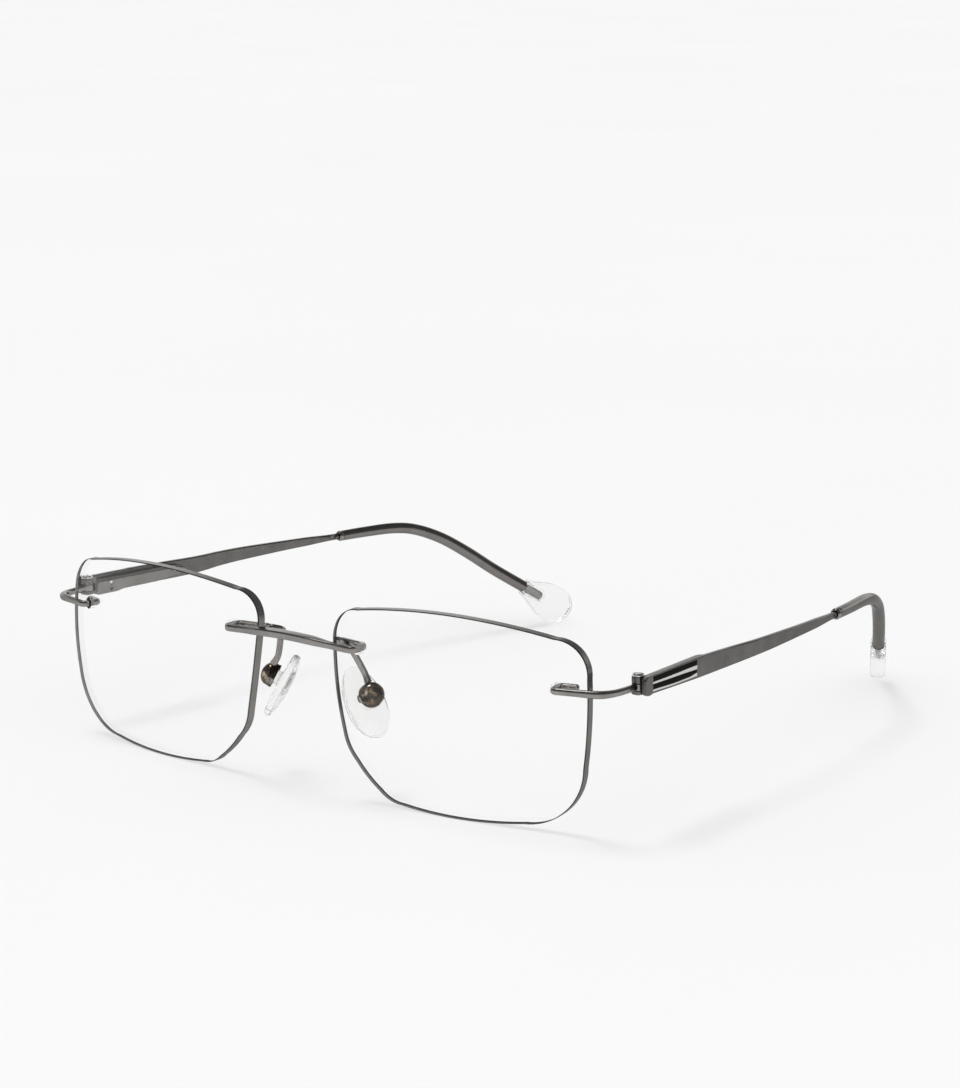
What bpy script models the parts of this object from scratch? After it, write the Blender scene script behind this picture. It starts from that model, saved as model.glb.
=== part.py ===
"""Rimless eyeglasses with drilled lenses, wrap-round wire mounts and sprung hinges.

Lengths below are in millimetres and are scaled to metres where objects are made.
Frame: +X is the wearer's left, +Y runs back along the temples, +Z is up. The glasses stand
open on the lens bottoms and the temple tips. Each side is modelled once in left-hand
coordinates, and the right side hangs from an empty whose X scale is -1.
"""

import math

import bmesh
import bpy
from mathutils import Matrix, Vector

MM = 0.001

# Placement
LENS_PLANE_Y = -70.32       # lens centre plane, so that the origin is the middle of the footprint

# Lens: 54 mm wide, 17 mm between lenses
LENS_CENTRE_X = 34.8
LENS_CENTRE_Z = 17.45
LENS_THICK = 1.8
BASE_CURVE = 105.0
LENS_WRAP = math.radians(5.8)
LENS_TILT = math.radians(-2.1)
LENS_CORNERS = (            # (u outwards, v up, corner radius), clockwise from the top temporal corner
    (27.7, 17.5, 6.5),
    (26.2, -16.6, 12.0),
    (-13.4, -16.9, 7.0),
    (-22.8, -7.9, 9.0),
    (-26.5, 18.2, 5.7),
)
EDGE_BOW = (0.45, 0.75, 0.25, 0.35, 1.95)    # how far the edge after each corner bulges
BLANK_RADIUS = 36.0

# Wire mounts
BRIDGE_LINK_X = 15.2
BRIDGE_Z = 28.55
BRIDGE_RISE = 0.75
BRIDGE_DEPTH, BRIDGE_HEIGHT = 1.15, 1.3
BRIDGE_FRONT_Y, BRIDGE_BACK_Y = -1.2, 3.0
BRIDGE_MIDDLE_Y = -1.9
BACK_LEG_END = Vector((8.9, 3.8, 28.55))
MOUNT_TURN, END_TURN = 1.0, 0.8     # centre-line radius of each mount's corners
END_LINK_X, END_LINK_Y = 55.8, 5.25
END_ANGLE = math.radians(17.0)
END_SPREAD = 2.0            # from the lens's middle to the bar's centre line
END_Z = 26.45
END_DEPTH, END_HEIGHT = 1.2, 1.2
END_LEG = 3.6
END_BAR = (4.5, 7.4)        # along the lens, where the front bar runs straight
END_BEND = ((64.75, 6.35), (65.75, 8.3), (66.1, 10.8))      # plan, round the lens to the hinge
CORNER_ROUND = 0.35
HOLE_R, BUSH_R, BUSH_BORE_R = 1.06, 1.0, 0.82
BUSH_FLANGE_R, BUSH_FLANGE = 1.25, 0.2

# Hinge
HINGE_X, HINGE_Y = 66.15, 15.2
TEMPLE_Z = 26.4
TOE_IN = math.radians(4.73)
BARREL_R = 1.15
SCREW_R, SCREW_HOLE_R = 0.55, 0.62
SCREW_HEAD_R, SCREW_HEAD = 1.08, 0.55
EYE_LOW, EYE_HIGH = -0.55, 0.65
KNUCKLE_LOW, KNUCKLE_HIGH = -1.3, 1.85
KNUCKLE_GAP = 0.06

# Temple, in its own frame: +Y along the temple, from the hinge axis
PLATE_THICK, PLATE_ROUND = 0.95, 0.22
PLATE_STATIONS = (          # (y, outer face's x, middle's z, height)
    (1.6, 2.1, 0.2, 3.25),
    (17.5, 2.12, -0.13, 3.75),
    (30.0, 2.45, -0.4, 3.4),
    (38.0, 3.22, -0.36, 2.95),
    (46.0, 3.48, -0.4, 2.6),
    (60.0, 3.27, -0.6, 1.9),
    (71.6, 2.7, -0.8, 1.6),
)
BLOCK_FRONT_Y, BLOCK_BACK_Y = -1.7, 1.9
BLOCK_IN_X, BLOCK_OUT_X = 1.45, 2.3
BLOCK_LOW, BLOCK_HIGH = -1.4, 2.05
ROD_R = 0.6
TIP_ROUTE = (               # the rod's centre line behind the plate
    (2.22, 71.0, -0.78),
    (2.06, 74.0, -0.82),
    (1.65, 80.0, -0.9),
    (0.7, 88.0, -1.15),
    (-0.3, 94.0, -2.2),
    (-2.2, 100.3, -4.8),
    (-4.6, 106.2, -8.6),
    (-7.3, 112.2, -13.1),
    (-10.6, 119.1, -17.9),
)
SLEEVE_R, SLEEVE_BORE_R = 1.22, 0.72
SLEEVE_START = 73.4
COLLAR_START, COLLAR_LENGTH, COLLAR_R = 72.2, 1.1, 1.3
ROD_IN_TIP = 4.6
TIP_WIDTH, TIP_NECK, TIP_THICK = 8.2, 3.6, 3.2
ENAMEL = (                  # each black stripe's front and rear end: (y, z low, z high)
    ((2.0, 0.95, 1.55), (17.3, 0.7, 1.5)),
    ((2.0, -0.38, 0.58), (17.3, -1.45, -0.28)),
)
ENAMEL_OUT_X = 2.09
ENAMEL_DEPTH, ENAMEL_GAP = 0.3, 0.05

# Sprung slider and its casing, in the temple's frame
CASE_IN_X, CASE_OUT_X = -1.1, 1.1
CASE_START, CASE_STEP, CASE_END = 1.7, 7.3, 25.5
CASE_FRONT_LOW, CASE_LOW, CASE_HIGH = -1.75, -1.45, 1.3
SHANK_START, SHANK_END = 1.4, 5.2
SHANK_HALF_X, SHANK_HALF_Z = 0.65, 0.85
SLIDE_ROOM = 0.08
WEB_HALF_X, WEB_FRONT, WEB_BACK = 0.8, 0.3, 1.62
SPINE_FRONT, SPINE_SIDE = 1.36, 0.7
THROAT_END, CHAMBER_END = 6.2, 21.0
THROAT_HALF, CHAMBER_HALF = 0.42, 0.85
SPRING_X = -0.1
SLIDER_ROD_R, SLIDER_ROD_END = 0.3, 17.0
SPRING_R, SPRING_WIRE_R, SPRING_TURNS = 0.52, 0.12, 7
STOP_R, STOP_LENGTH = 0.66, 0.8

# Nose pads
PAD_CENTRE = Vector((10.4, 8.7, 16.35))
PAD_UP = Vector((-0.507, 0.038, 0.861)).normalized()
PAD_NORMAL_HINT = Vector((-0.76, 0.45, -0.47))
PAD_LENGTH, PAD_WIDTH, PAD_THICK = 14.0, 7.7, 2.3
CUP_R, CUP_DEPTH, CUP_FORWARD, CUP_RISE = 2.25, 2.6, 2.9, 0.5
PAD_SCREW_OUT = 0.75        # from the cup's middle towards the pad
TAB_HALF_WIDTH, TAB_HALF_HEIGHT = 0.6, 1.3
PAD_SCREW_R, PAD_SCREW_HOLE_R = 0.4, 0.48
ARM_R = 0.6
ARM_BENDS = ((7.3, 5.3, 28.1), (7.9, 6.5, 27.4), (8.8, 6.95, 26.2))

COLOURS = {
    "gunmetal": ((0.20, 0.19, 0.185), 1.0, 0.28),
    "steel": ((0.55, 0.54, 0.52), 1.0, 0.25),
    "bronze": ((0.33, 0.29, 0.25), 1.0, 0.3),
    "enamel": ((0.012, 0.012, 0.013), 0.0, 0.2),
    "sleeve": ((0.09, 0.085, 0.08), 0.0, 0.35),
    "lens": ((0.92, 0.95, 0.96), 0.0, 0.03),
    "clear": ((0.94, 0.95, 0.96), 0.0, 0.15),
}
CLEAR_KINDS = ("lens", "clear")


# ---------------------------------------------------------------- helpers

def clear_scene():
    for obj in list(bpy.data.objects):
        bpy.data.objects.remove(obj, do_unlink=True)


def new_collection(name):
    made = bpy.data.collections.new(name)
    bpy.context.scene.collection.children.link(made)
    return made


def finish_material(obj, kind):
    colour, metallic, roughness = COLOURS[kind]
    made = bpy.data.materials.new(obj.name)
    made.use_nodes = True
    shader = made.node_tree.nodes["Principled BSDF"]
    shader.inputs["Base Color"].default_value = (*colour, 1.0)
    shader.inputs["Metallic"].default_value = metallic
    shader.inputs["Roughness"].default_value = roughness
    if kind in CLEAR_KINDS:
        shader.inputs["Transmission Weight"].default_value = 1.0
    obj.data.materials.clear()
    obj.data.materials.append(made)


class Builder:
    """Makes objects in millimetres under one parent empty, and keeps cutters apart."""

    parts = None
    cutters = None

    def __init__(self, prefix, parent):
        self.prefix = prefix
        self.parent = parent

    def link(self, name, data, kind):
        obj = bpy.data.objects.new(self.prefix + name, data)
        obj.parent = self.parent
        if kind:
            self.parts.objects.link(obj)
            finish_material(obj, kind)
        else:
            self.cutters.objects.link(obj)
            obj.hide_render = True
            obj.display_type = "WIRE"
        return obj

    def mesh(self, name, bm, kind=None, smooth=True):
        bmesh.ops.recalc_face_normals(bm, faces=bm.faces)
        data = bpy.data.meshes.new(self.prefix + name)
        bmesh.ops.scale(bm, vec=(MM, MM, MM), verts=bm.verts)
        bm.to_mesh(data)
        bm.free()
        obj = self.link(name, data, kind)
        if smooth:
            data.shade_smooth()
            data.set_sharp_from_angle(angle=math.radians(35))
        return obj

    def box(self, name, low, high, kind=None):
        bm = bmesh.new()
        bmesh.ops.create_cube(bm, size=1.0)
        size = [h - l for l, h in zip(low, high)]
        middle = [(h + l) / 2 for l, h in zip(low, high)]
        bmesh.ops.scale(bm, vec=size, verts=bm.verts)
        bmesh.ops.translate(bm, vec=middle, verts=bm.verts)
        return self.mesh(name, bm, kind, smooth=False)

    def rod(self, name, start, end, radius, kind=None, segments=20, end_radius=None):
        start, end = Vector(start), Vector(end)
        bm = bmesh.new()
        bmesh.ops.create_cone(bm, cap_ends=True, segments=segments, radius1=radius,
                              radius2=radius if end_radius is None else end_radius,
                              depth=(end - start).length)
        turn = (end - start).to_track_quat("Z", "Y").to_matrix().to_4x4()
        bmesh.ops.transform(bm, matrix=Matrix.Translation((start + end) / 2) @ turn, verts=bm.verts)
        return self.mesh(name, bm, kind)

    def turned(self, name, profile, place, kind=None, steps=24):
        """A profile of (radius, height) turned round its own Z, then placed by a matrix."""
        bm = bmesh.new()
        rim = [bm.verts.new((r * MM, 0.0, z * MM)) for r, z in profile]
        closed = profile[0][0] > 0
        for a, b in zip(rim, rim[1:] + (rim[:1] if closed else [])):
            if a is not b:
                bm.edges.new((a, b))
        data = bpy.data.meshes.new(self.prefix + name)
        bm.to_mesh(data)
        bm.free()
        obj = self.link(name, data, kind)
        placed = place.copy()
        placed.translation = place.translation * MM
        obj.matrix_local = placed
        screw = obj.modifiers.new("Turn", "SCREW")
        screw.steps = steps
        screw.render_steps = steps
        screw.use_merge_vertices = True
        screw.merge_threshold = 0.000001
        screw.use_smooth_shade = False
        return obj

    def tube(self, name, route, radius, kind=None, resolution=2, caps=True):
        curve = bpy.data.curves.new(self.prefix + name, "CURVE")
        curve.dimensions = "3D"
        curve.twist_mode = "MINIMUM"
        curve.bevel_depth = radius * MM
        curve.bevel_resolution = resolution
        curve.use_fill_caps = caps
        add_route(curve, route)
        return self.link(name, curve, kind)

    def bar(self, name, route, depth, height):
        """A wire of rounded rectangular section along a route."""
        section = bpy.data.curves.new(self.prefix + name + "_section", "CURVE")
        section.dimensions = "2D"
        corners = rounded_box(depth, height, CORNER_ROUND, 1)
        add_route(section, [(x, y, 0.0) for x, y in corners], cyclic=True)
        guide = self.link(name + "_section", section, None)
        curve = bpy.data.curves.new(self.prefix + name, "CURVE")
        curve.dimensions = "3D"
        curve.twist_mode = "Z_UP"
        curve.bevel_mode = "OBJECT"
        curve.bevel_object = guide
        curve.use_fill_caps = True
        add_route(curve, route)
        return self.link(name, curve, None)

    def plate(self, name, outline, thick, round_edge, place, kind=None):
        """A flat outline with rounded edges, thickened evenly about its plane, then placed."""
        curve = bpy.data.curves.new(self.prefix + name, "CURVE")
        curve.dimensions = "2D"
        curve.fill_mode = "BOTH"
        curve.extrude = (thick / 2 - round_edge) * MM
        curve.bevel_depth = round_edge * MM
        curve.bevel_resolution = 1
        curve.offset = -round_edge * MM
        add_route(curve, [(x, y, 0.0) for x, y in outline], cyclic=True)
        obj = self.link(name, curve, kind)
        placed = place.copy()
        placed.translation = place.translation * MM
        obj.matrix_local = placed
        return obj

    def loft(self, name, rings, kind=None):
        """Rings of points joined one to the next, with both ends closed."""
        bm = bmesh.new()
        loops = [[bm.verts.new(p) for p in ring] for ring in rings]
        for near, far in zip(loops, loops[1:]):
            for i, vert in enumerate(near):
                bm.faces.new((near[i - 1], vert, far[i], far[i - 1]))
        bm.faces.new(loops[0])
        bm.faces.new(loops[-1])
        return self.mesh(name, bm, kind)

    def solid(self, obj, kind=None):
        """The mesh of a curve object, with its caps welded, in place of the curve."""
        bpy.context.view_layer.update()
        graph = bpy.context.evaluated_depsgraph_get()
        data = bpy.data.meshes.new_from_object(obj.evaluated_get(graph))
        bm = bmesh.new()
        bm.from_mesh(data)
        bmesh.ops.remove_doubles(bm, verts=bm.verts, dist=0.000002)
        bmesh.ops.recalc_face_normals(bm, faces=bm.faces)
        bm.to_mesh(data)
        bm.free()
        name = obj.name
        local = obj.matrix_local.copy()
        bpy.data.objects.remove(obj, do_unlink=True)
        made = self.link(name[len(self.prefix):], data, kind)
        made.matrix_local = local
        return made


def add_route(curve, route, cyclic=False):
    spline = curve.splines.new("POLY")
    spline.points.add(len(route) - 1)
    for point, place in zip(spline.points, route):
        point.co = (*(v * MM for v in place), 1.0)
    spline.use_cyclic_u = cyclic


def change(obj, other, operation):
    step = obj.modifiers.new(operation.title(), "BOOLEAN")
    step.operation = operation
    step.object = other
    step.solver = "EXACT"


def cut(obj, *cutters):
    for cutter in cutters:
        change(obj, cutter, "DIFFERENCE")


def join(obj, *others):
    for other in others:
        change(obj, other, "UNION")


def empty(name, parent=None, location=(0, 0, 0), turn=0.0, mirrored=False):
    made = bpy.data.objects.new(name, None)
    made.empty_display_size = 0.005
    made.location = Vector(location) * MM
    made.rotation_euler = (0.0, 0.0, turn)
    if mirrored:
        made.scale = (-1.0, 1.0, 1.0)
    made.parent = parent
    Builder.parts.objects.link(made)
    return made


def arc(centre, radius, start, end, count):
    """Points on an arc in a plane, both ends included, angles in radians."""
    steps = [start + (end - start) * i / (count - 1) for i in range(count)]
    return [(centre[0] + radius * math.cos(a), centre[1] + radius * math.sin(a)) for a in steps]


def rounded_box(width, height, radius, corner_points):
    x, y = width / 2 - radius, height / 2 - radius
    quarter = math.pi / 2
    points = []
    for i, centre in enumerate(((x, y), (-x, y), (-x, -y), (x, -y))):
        points += arc(centre, radius, i * quarter, (i + 1) * quarter, corner_points + 1)
    return points


def smooth_route(points, steps):
    """Points along a Catmull-Rom curve through the given ones."""
    knots = [Vector(p) for p in points]
    knots = [2 * knots[0] - knots[1], *knots, 2 * knots[-1] - knots[-2]]
    route = []
    for a, b, c, d in zip(knots, knots[1:], knots[2:], knots[3:]):
        for i in range(steps):
            t = i / steps
            route.append(0.5 * (2 * b + (c - a) * t + (2 * a - 5 * b + 4 * c - d) * t ** 2
                                + (3 * b - a - 3 * c + d) * t ** 3))
    return route + [knots[-2]]


def frame_matrix(origin, x_axis, z_axis):
    x, z = Vector(x_axis).normalized(), Vector(z_axis).normalized()
    turn = Matrix((x, z.cross(x), z)).transposed().to_4x4()
    return Matrix.Translation(Vector(origin)) @ turn


# ---------------------------------------------------------------- lenses

def rounded_polygon(corners, bows, corner_points, edge_points):
    """A closed outline: straight-cornered polygon, its corners rounded and its edges bowed out."""
    count = len(corners)
    rounded = []
    for i, (x, y, radius) in enumerate(corners):
        here = Vector((x, y))
        back = (Vector(corners[i - 1][:2]) - here).normalized()
        ahead = (Vector(corners[(i + 1) % count][:2]) - here).normalized()
        half = back.angle(ahead) / 2
        centre = here + (back + ahead).normalized() * radius / math.sin(half)
        start = here + back * radius / math.tan(half) - centre
        end = here + ahead * radius / math.tan(half) - centre
        first = math.atan2(start.y, start.x)
        sweep = -start.angle(end)
        rounded.append(arc(centre, radius, first, first + sweep, corner_points))
    outline = []
    for i, points in enumerate(rounded):
        outline += points
        a, b = Vector(points[-1]), Vector(rounded[(i + 1) % count][0])
        out = Vector((-(b - a).y, (b - a).x)).normalized()
        for k in range(1, edge_points):
            t = k / edge_points
            outline.append(a.lerp(b, t) + out * bows[i] * 4 * t * (1 - t))
    return [tuple(p) for p in outline]


def lens_matrix():
    """From the lens's own frame (u, v, depth back) to the left-hand frame."""
    axes = Matrix(((1, 0, 0, 0), (0, 0, 1, 0), (0, 1, 0, 0), (0, 0, 0, 1)))
    turn = Matrix.Rotation(LENS_TILT, 4, "X").inverted() @ Matrix.Rotation(LENS_WRAP, 4, "Z")
    return Matrix.Translation((LENS_CENTRE_X, 0.0, LENS_CENTRE_Z)) @ turn @ axes


def blank_profile(rings):
    """Half the section of a round meniscus blank: out along the back, and in along the front."""
    radii = [BLANK_RADIUS * i / rings for i in range(rings + 1)]
    front = [(r, r * r / (2 * BASE_CURVE)) for r in radii]
    back = [(r, depth + LENS_THICK) for r, depth in front]
    return back + front[::-1]


def lens(side):
    """A turned blank, edged to the outline and drilled for the two wire mounts."""
    place = lens_matrix()
    blank = side.turned("lens", blank_profile(4), place, "lens", steps=32)
    outline = rounded_polygon(LENS_CORNERS, EDGE_BOW, 6, 6)
    edger = side.plate("lens_outline", outline, 24.0, 0.0, place)
    change(blank, side.solid(edger), "INTERSECT")
    back = Vector((-math.sin(END_ANGLE), math.cos(END_ANGLE), 0.0)) * 6
    end_hole = Vector((END_LINK_X, END_LINK_Y, END_Z))
    cut(blank, side.rod("bridge_hole", (BRIDGE_LINK_X, -6, BRIDGE_Z),
                        (BRIDGE_LINK_X, 9, BRIDGE_Z), HOLE_R, segments=16),
        side.rod("end_hole", end_hole - back, end_hole + back, HOLE_R, segments=16))


def bushing(side, name, middle, direction):
    """A clear sleeve with a flange on each face of the lens."""
    half = LENS_THICK / 2 + 0.2
    top = half + BUSH_FLANGE
    profile = [(BUSH_BORE_R, top), (BUSH_FLANGE_R, top), (BUSH_FLANGE_R, half), (BUSH_R, half),
               (BUSH_R, -half), (BUSH_FLANGE_R, -half), (BUSH_FLANGE_R, -top), (BUSH_BORE_R, -top)]
    side.turned(name, profile, frame_matrix(middle, (0, 0, 1), direction), "clear", steps=14)


# ---------------------------------------------------------------- front wires

def turn_round(x, y_start, y_end, radius, points):
    """A wire's way round a link: forward corner, straight link, rear corner, in plan."""
    first = arc((x - radius, y_start + radius), radius, -math.pi / 2, 0.0, points)
    second = arc((x - radius, y_end - radius), radius, 0.0, math.pi / 2, points)
    return first + second


def bridge_half():
    """Half the bridge's route in plan: along the front, through the lens and back along its rear."""
    rise = [(0.0, BRIDGE_MIDDLE_Y, BRIDGE_Z + BRIDGE_RISE),
            (4.5, BRIDGE_MIDDLE_Y + 0.1, BRIDGE_Z + BRIDGE_RISE * 0.85),
            (9.0, BRIDGE_FRONT_Y - 0.25, BRIDGE_Z + BRIDGE_RISE * 0.4),
            (BRIDGE_LINK_X - 2.6, BRIDGE_FRONT_Y, BRIDGE_Z + 0.05)]
    along = smooth_route(rise, 3)
    hook = turn_round(BRIDGE_LINK_X, BRIDGE_FRONT_Y, BRIDGE_BACK_Y, MOUNT_TURN, 4)
    return [tuple(p) for p in along] + [(x, y, BRIDGE_Z) for x, y in hook] + [tuple(BACK_LEG_END)]


def bridge(middle):
    half = bridge_half()
    route = [(-x, y, z) for x, y, z in half[:0:-1]] + half
    middle.solid(middle.bar("bridge", route, BRIDGE_DEPTH, BRIDGE_HEIGHT), "gunmetal")


def end_point(along, through):
    """A point in plan by the drilled hole: along the lens's surface, and through it to the back."""
    c, s = math.cos(END_ANGLE), math.sin(END_ANGLE)
    return (END_LINK_X + along * c - through * s, END_LINK_Y + along * s + through * c)


def endpiece_route():
    """From the rear leg's tip, through the lens, along its front and round to the hinge."""
    quarter = math.pi / 2
    near, far = END_TURN, END_SPREAD
    local = [(END_LEG, far)]
    local += arc((near, far - near), near, quarter, 2 * quarter, 4)
    local += arc((near, near - far), near, 2 * quarter, 3 * quarter, 4)
    local += [(along, -far) for along in END_BAR]
    route = [end_point(a, t) for a, t in local]
    bend = [(*p, 0.0) for p in (route[-1], *END_BEND, (HINGE_X, HINGE_Y - 1.0))]
    route += [(p[0], p[1]) for p in smooth_route(bend, 3)[1:]]
    return [(x, y, END_Z) for x, y in route]


def endpiece(side):
    """The outer wire mount, ending in the hinge's middle eye."""
    wire = side.solid(side.bar("endpiece", endpiece_route(), END_DEPTH, END_HEIGHT), "gunmetal")
    low, high = TEMPLE_Z + EYE_LOW, TEMPLE_Z + EYE_HIGH
    join(wire, side.rod("eye", (HINGE_X, HINGE_Y, low), (HINGE_X, HINGE_Y, high), BARREL_R,
                        segments=20))
    cut(wire, side.rod("eye_hole", (HINGE_X, HINGE_Y, low - 1), (HINGE_X, HINGE_Y, high + 1),
                       SCREW_HOLE_R, segments=16))


def hinge_screw(side):
    """The pivot: a shank through the three knuckles and a slotted cheese head."""
    top = KNUCKLE_HIGH + KNUCKLE_GAP
    profile = [(0.0, top + SCREW_HEAD), (SCREW_HEAD_R - 0.17, top + SCREW_HEAD),
               (SCREW_HEAD_R, top + SCREW_HEAD - 0.15), (SCREW_HEAD_R, top),
               (SCREW_R, top), (SCREW_R, KNUCKLE_LOW - 0.1), (0.4, KNUCKLE_LOW - 0.25),
               (0.0, KNUCKLE_LOW - 0.25)]
    place = Matrix.Translation((HINGE_X, HINGE_Y, TEMPLE_Z))
    screw = side.turned("hinge_screw", profile, place, "steel", steps=18)
    head = TEMPLE_Z + top
    cut(screw, side.box("hinge_slot", (HINGE_X - 2, HINGE_Y - 0.14, head + 0.3),
                        (HINGE_X + 2, HINGE_Y + 0.14, head + 1)))


# ---------------------------------------------------------------- nose pads

def pad_frame():
    """The pad's own axes: x across, y up its length, z towards the nose."""
    normal = (PAD_NORMAL_HINT - PAD_UP * PAD_NORMAL_HINT.dot(PAD_UP)).normalized()
    return frame_matrix(PAD_CENTRE, PAD_UP.cross(normal), normal)


def nose_pad(side):
    """A soft oval pad, crowned towards the nose, with a pocket for its tab."""
    place = pad_frame()
    bm = bmesh.new()
    bmesh.ops.create_uvsphere(bm, u_segments=20, v_segments=12, radius=1.0)
    for vert in bm.verts:
        x, y, z = vert.co
        depth = PAD_THICK * (0.72 if z > 0 else 0.28)
        vert.co = (x * PAD_WIDTH / 2 * (1 - 0.1 * y), y * PAD_LENGTH / 2, z * depth)
    bmesh.ops.transform(bm, matrix=place, verts=bm.verts)
    pad = side.mesh("nose_pad", bm, "clear")
    pocket = side.box("pad_pocket", (-TAB_HALF_WIDTH - 0.1, CUP_RISE - TAB_HALF_HEIGHT - 0.1, -3.0),
                      (TAB_HALF_WIDTH + 0.1, CUP_RISE + TAB_HALF_HEIGHT + 0.1, 0.45))
    place_on(pocket, place)
    cut(pad, pocket)


def place_on(obj, place):
    """Places an object whose mesh is in a local frame given in millimetres."""
    placed = place.copy()
    placed.translation = place.translation * MM
    obj.matrix_local = placed


def pad_tab(side):
    """The flat tab moulded into the pad, which the cup's screw passes through."""
    place = pad_frame()
    tab = side.box("pad_tab", (-TAB_HALF_WIDTH, CUP_RISE - TAB_HALF_HEIGHT, -CUP_FORWARD),
                   (TAB_HALF_WIDTH, CUP_RISE + TAB_HALF_HEIGHT, 0.3), "clear")
    place_on(tab, place)
    level = PAD_SCREW_OUT - CUP_FORWARD
    hole = side.rod("tab_hole", (-3, CUP_RISE, level), (3, CUP_RISE, level), PAD_SCREW_HOLE_R,
                    segments=10)
    place_on(hole, place)
    cut(tab, hole)


def pad_cup(side):
    """A round cup at the arm's end, open towards the pad and cross-drilled for its screw."""
    place = pad_frame()
    front = -CUP_FORWARD - CUP_DEPTH / 2
    back = front + CUP_DEPTH
    inner = CUP_R - 0.45
    profile = [(0.0, front), (CUP_R * 0.6, front), (CUP_R * 0.9, front + 0.35),
               (CUP_R, front + 1.0), (CUP_R, back), (inner, back), (inner, front + 0.7),
               (0.0, front + 0.7)]
    place = place @ Matrix.Translation((0.0, CUP_RISE, 0.0))
    cup = side.turned("pad_cup", profile[::-1], place, "bronze", steps=18)
    level = PAD_SCREW_OUT - CUP_FORWARD
    hole = side.rod("cup_hole", (-4, 0, level), (4, 0, level), PAD_SCREW_HOLE_R, segments=10)
    place_on(hole, place)
    cut(cup, hole)


def pad_screw(side):
    """The cross screw that holds the pad's tab in its cup."""
    place = pad_frame()
    level = PAD_SCREW_OUT - CUP_FORWARD
    screw = side.rod("pad_screw", (-CUP_R + 0.1, CUP_RISE, level), (CUP_R + 0.1, CUP_RISE, level),
                     PAD_SCREW_R, "steel", segments=10)
    place_on(screw, place)
    head = side.rod("pad_screw_head", (CUP_R + 0.05, CUP_RISE, level),
                    (CUP_R + 0.4, CUP_RISE, level), 0.75, segments=16)
    place_on(head, place)
    join(screw, head)


def pad_arm(side):
    """The bent wire from the bridge's rear leg down to the pad's cup."""
    place = pad_frame()
    cup_top = place @ Vector((0.0, CUP_RISE + CUP_R + 0.08, -CUP_FORWARD - 0.2))
    leg = (BACK_LEG_END - Vector((BRIDGE_LINK_X - MOUNT_TURN, BRIDGE_BACK_Y, BRIDGE_Z))).normalized()
    points = [BACK_LEG_END + leg * 0.06, BACK_LEG_END + leg * 0.9, *ARM_BENDS,
              cup_top + PAD_UP * 2.2, cup_top]
    side.tube("pad_arm", smooth_route(points, 3), ARM_R, "gunmetal", resolution=2)


# ---------------------------------------------------------------- hinge slider and spring

def slider(side):
    """The sprung part of the hinge: two knuckles, a web, a shank and a thin pull rod."""
    shank = side.box("hinge_slider", (SPRING_X - SHANK_HALF_X, SHANK_START, -SHANK_HALF_Z),
                     (SPRING_X + SHANK_HALF_X, SHANK_END, SHANK_HALF_Z), "steel")
    low_top, high_low = EYE_LOW - KNUCKLE_GAP, EYE_HIGH + KNUCKLE_GAP
    lower = side.rod("lower_knuckle", (0, 0, KNUCKLE_LOW), (0, 0, low_top), BARREL_R, segments=20)
    upper = side.rod("upper_knuckle", (0, 0, high_low), (0, 0, KNUCKLE_HIGH), BARREL_R, segments=20)
    low_web = side.box("lower_web", (-WEB_HALF_X, WEB_FRONT, KNUCKLE_LOW + 0.1),
                       (WEB_HALF_X, WEB_BACK, low_top))
    high_web = side.box("upper_web", (-WEB_HALF_X, WEB_FRONT, high_low),
                        (WEB_HALF_X, WEB_BACK, KNUCKLE_HIGH - 0.1))
    spine = side.box("web_spine", (-WEB_HALF_X, SPINE_FRONT, KNUCKLE_LOW + 0.1),
                     (SPINE_SIDE, WEB_BACK, KNUCKLE_HIGH - 0.1))
    pull = side.rod("pull_rod", (SPRING_X, SHANK_END - 0.3, 0), (SPRING_X, SLIDER_ROD_END, 0),
                    SLIDER_ROD_R, segments=12)
    join(shank, lower, upper, low_web, high_web, spine, pull)
    cut(shank, side.rod("knuckle_hole", (0, 0, KNUCKLE_LOW - 1), (0, 0, KNUCKLE_HIGH + 1),
                        SCREW_HOLE_R, segments=16))


def spring_stop(side):
    """The collar on the pull rod's end that the spring pushes against."""
    end = SLIDER_ROD_END - 0.1
    profile = [(SLIDER_ROD_R + 0.04, 0.0), (SLIDER_ROD_R + 0.04, STOP_LENGTH),
               (STOP_R, STOP_LENGTH), (STOP_R, 0.0)]
    place = frame_matrix((SPRING_X, end - STOP_LENGTH, 0.0), (0, 0, 1), (0, 1, 0))
    side.turned("spring_stop", profile, place, "steel", steps=16)


def spring(side):
    """A compression coil between the casing's throat and the stop."""
    start, end = THROAT_END + 0.2, SLIDER_ROD_END - 0.1 - STOP_LENGTH - 0.2
    per_turn = 8
    count = SPRING_TURNS * per_turn
    route = []
    for i in range(count + 1):
        angle = 2 * math.pi * i / per_turn
        y = start + (end - start) * i / count
        route.append((SPRING_X + SPRING_R * math.cos(angle), y, SPRING_R * math.sin(angle)))
    side.tube("hinge_spring", route, SPRING_WIRE_R, "steel", resolution=0)


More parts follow.
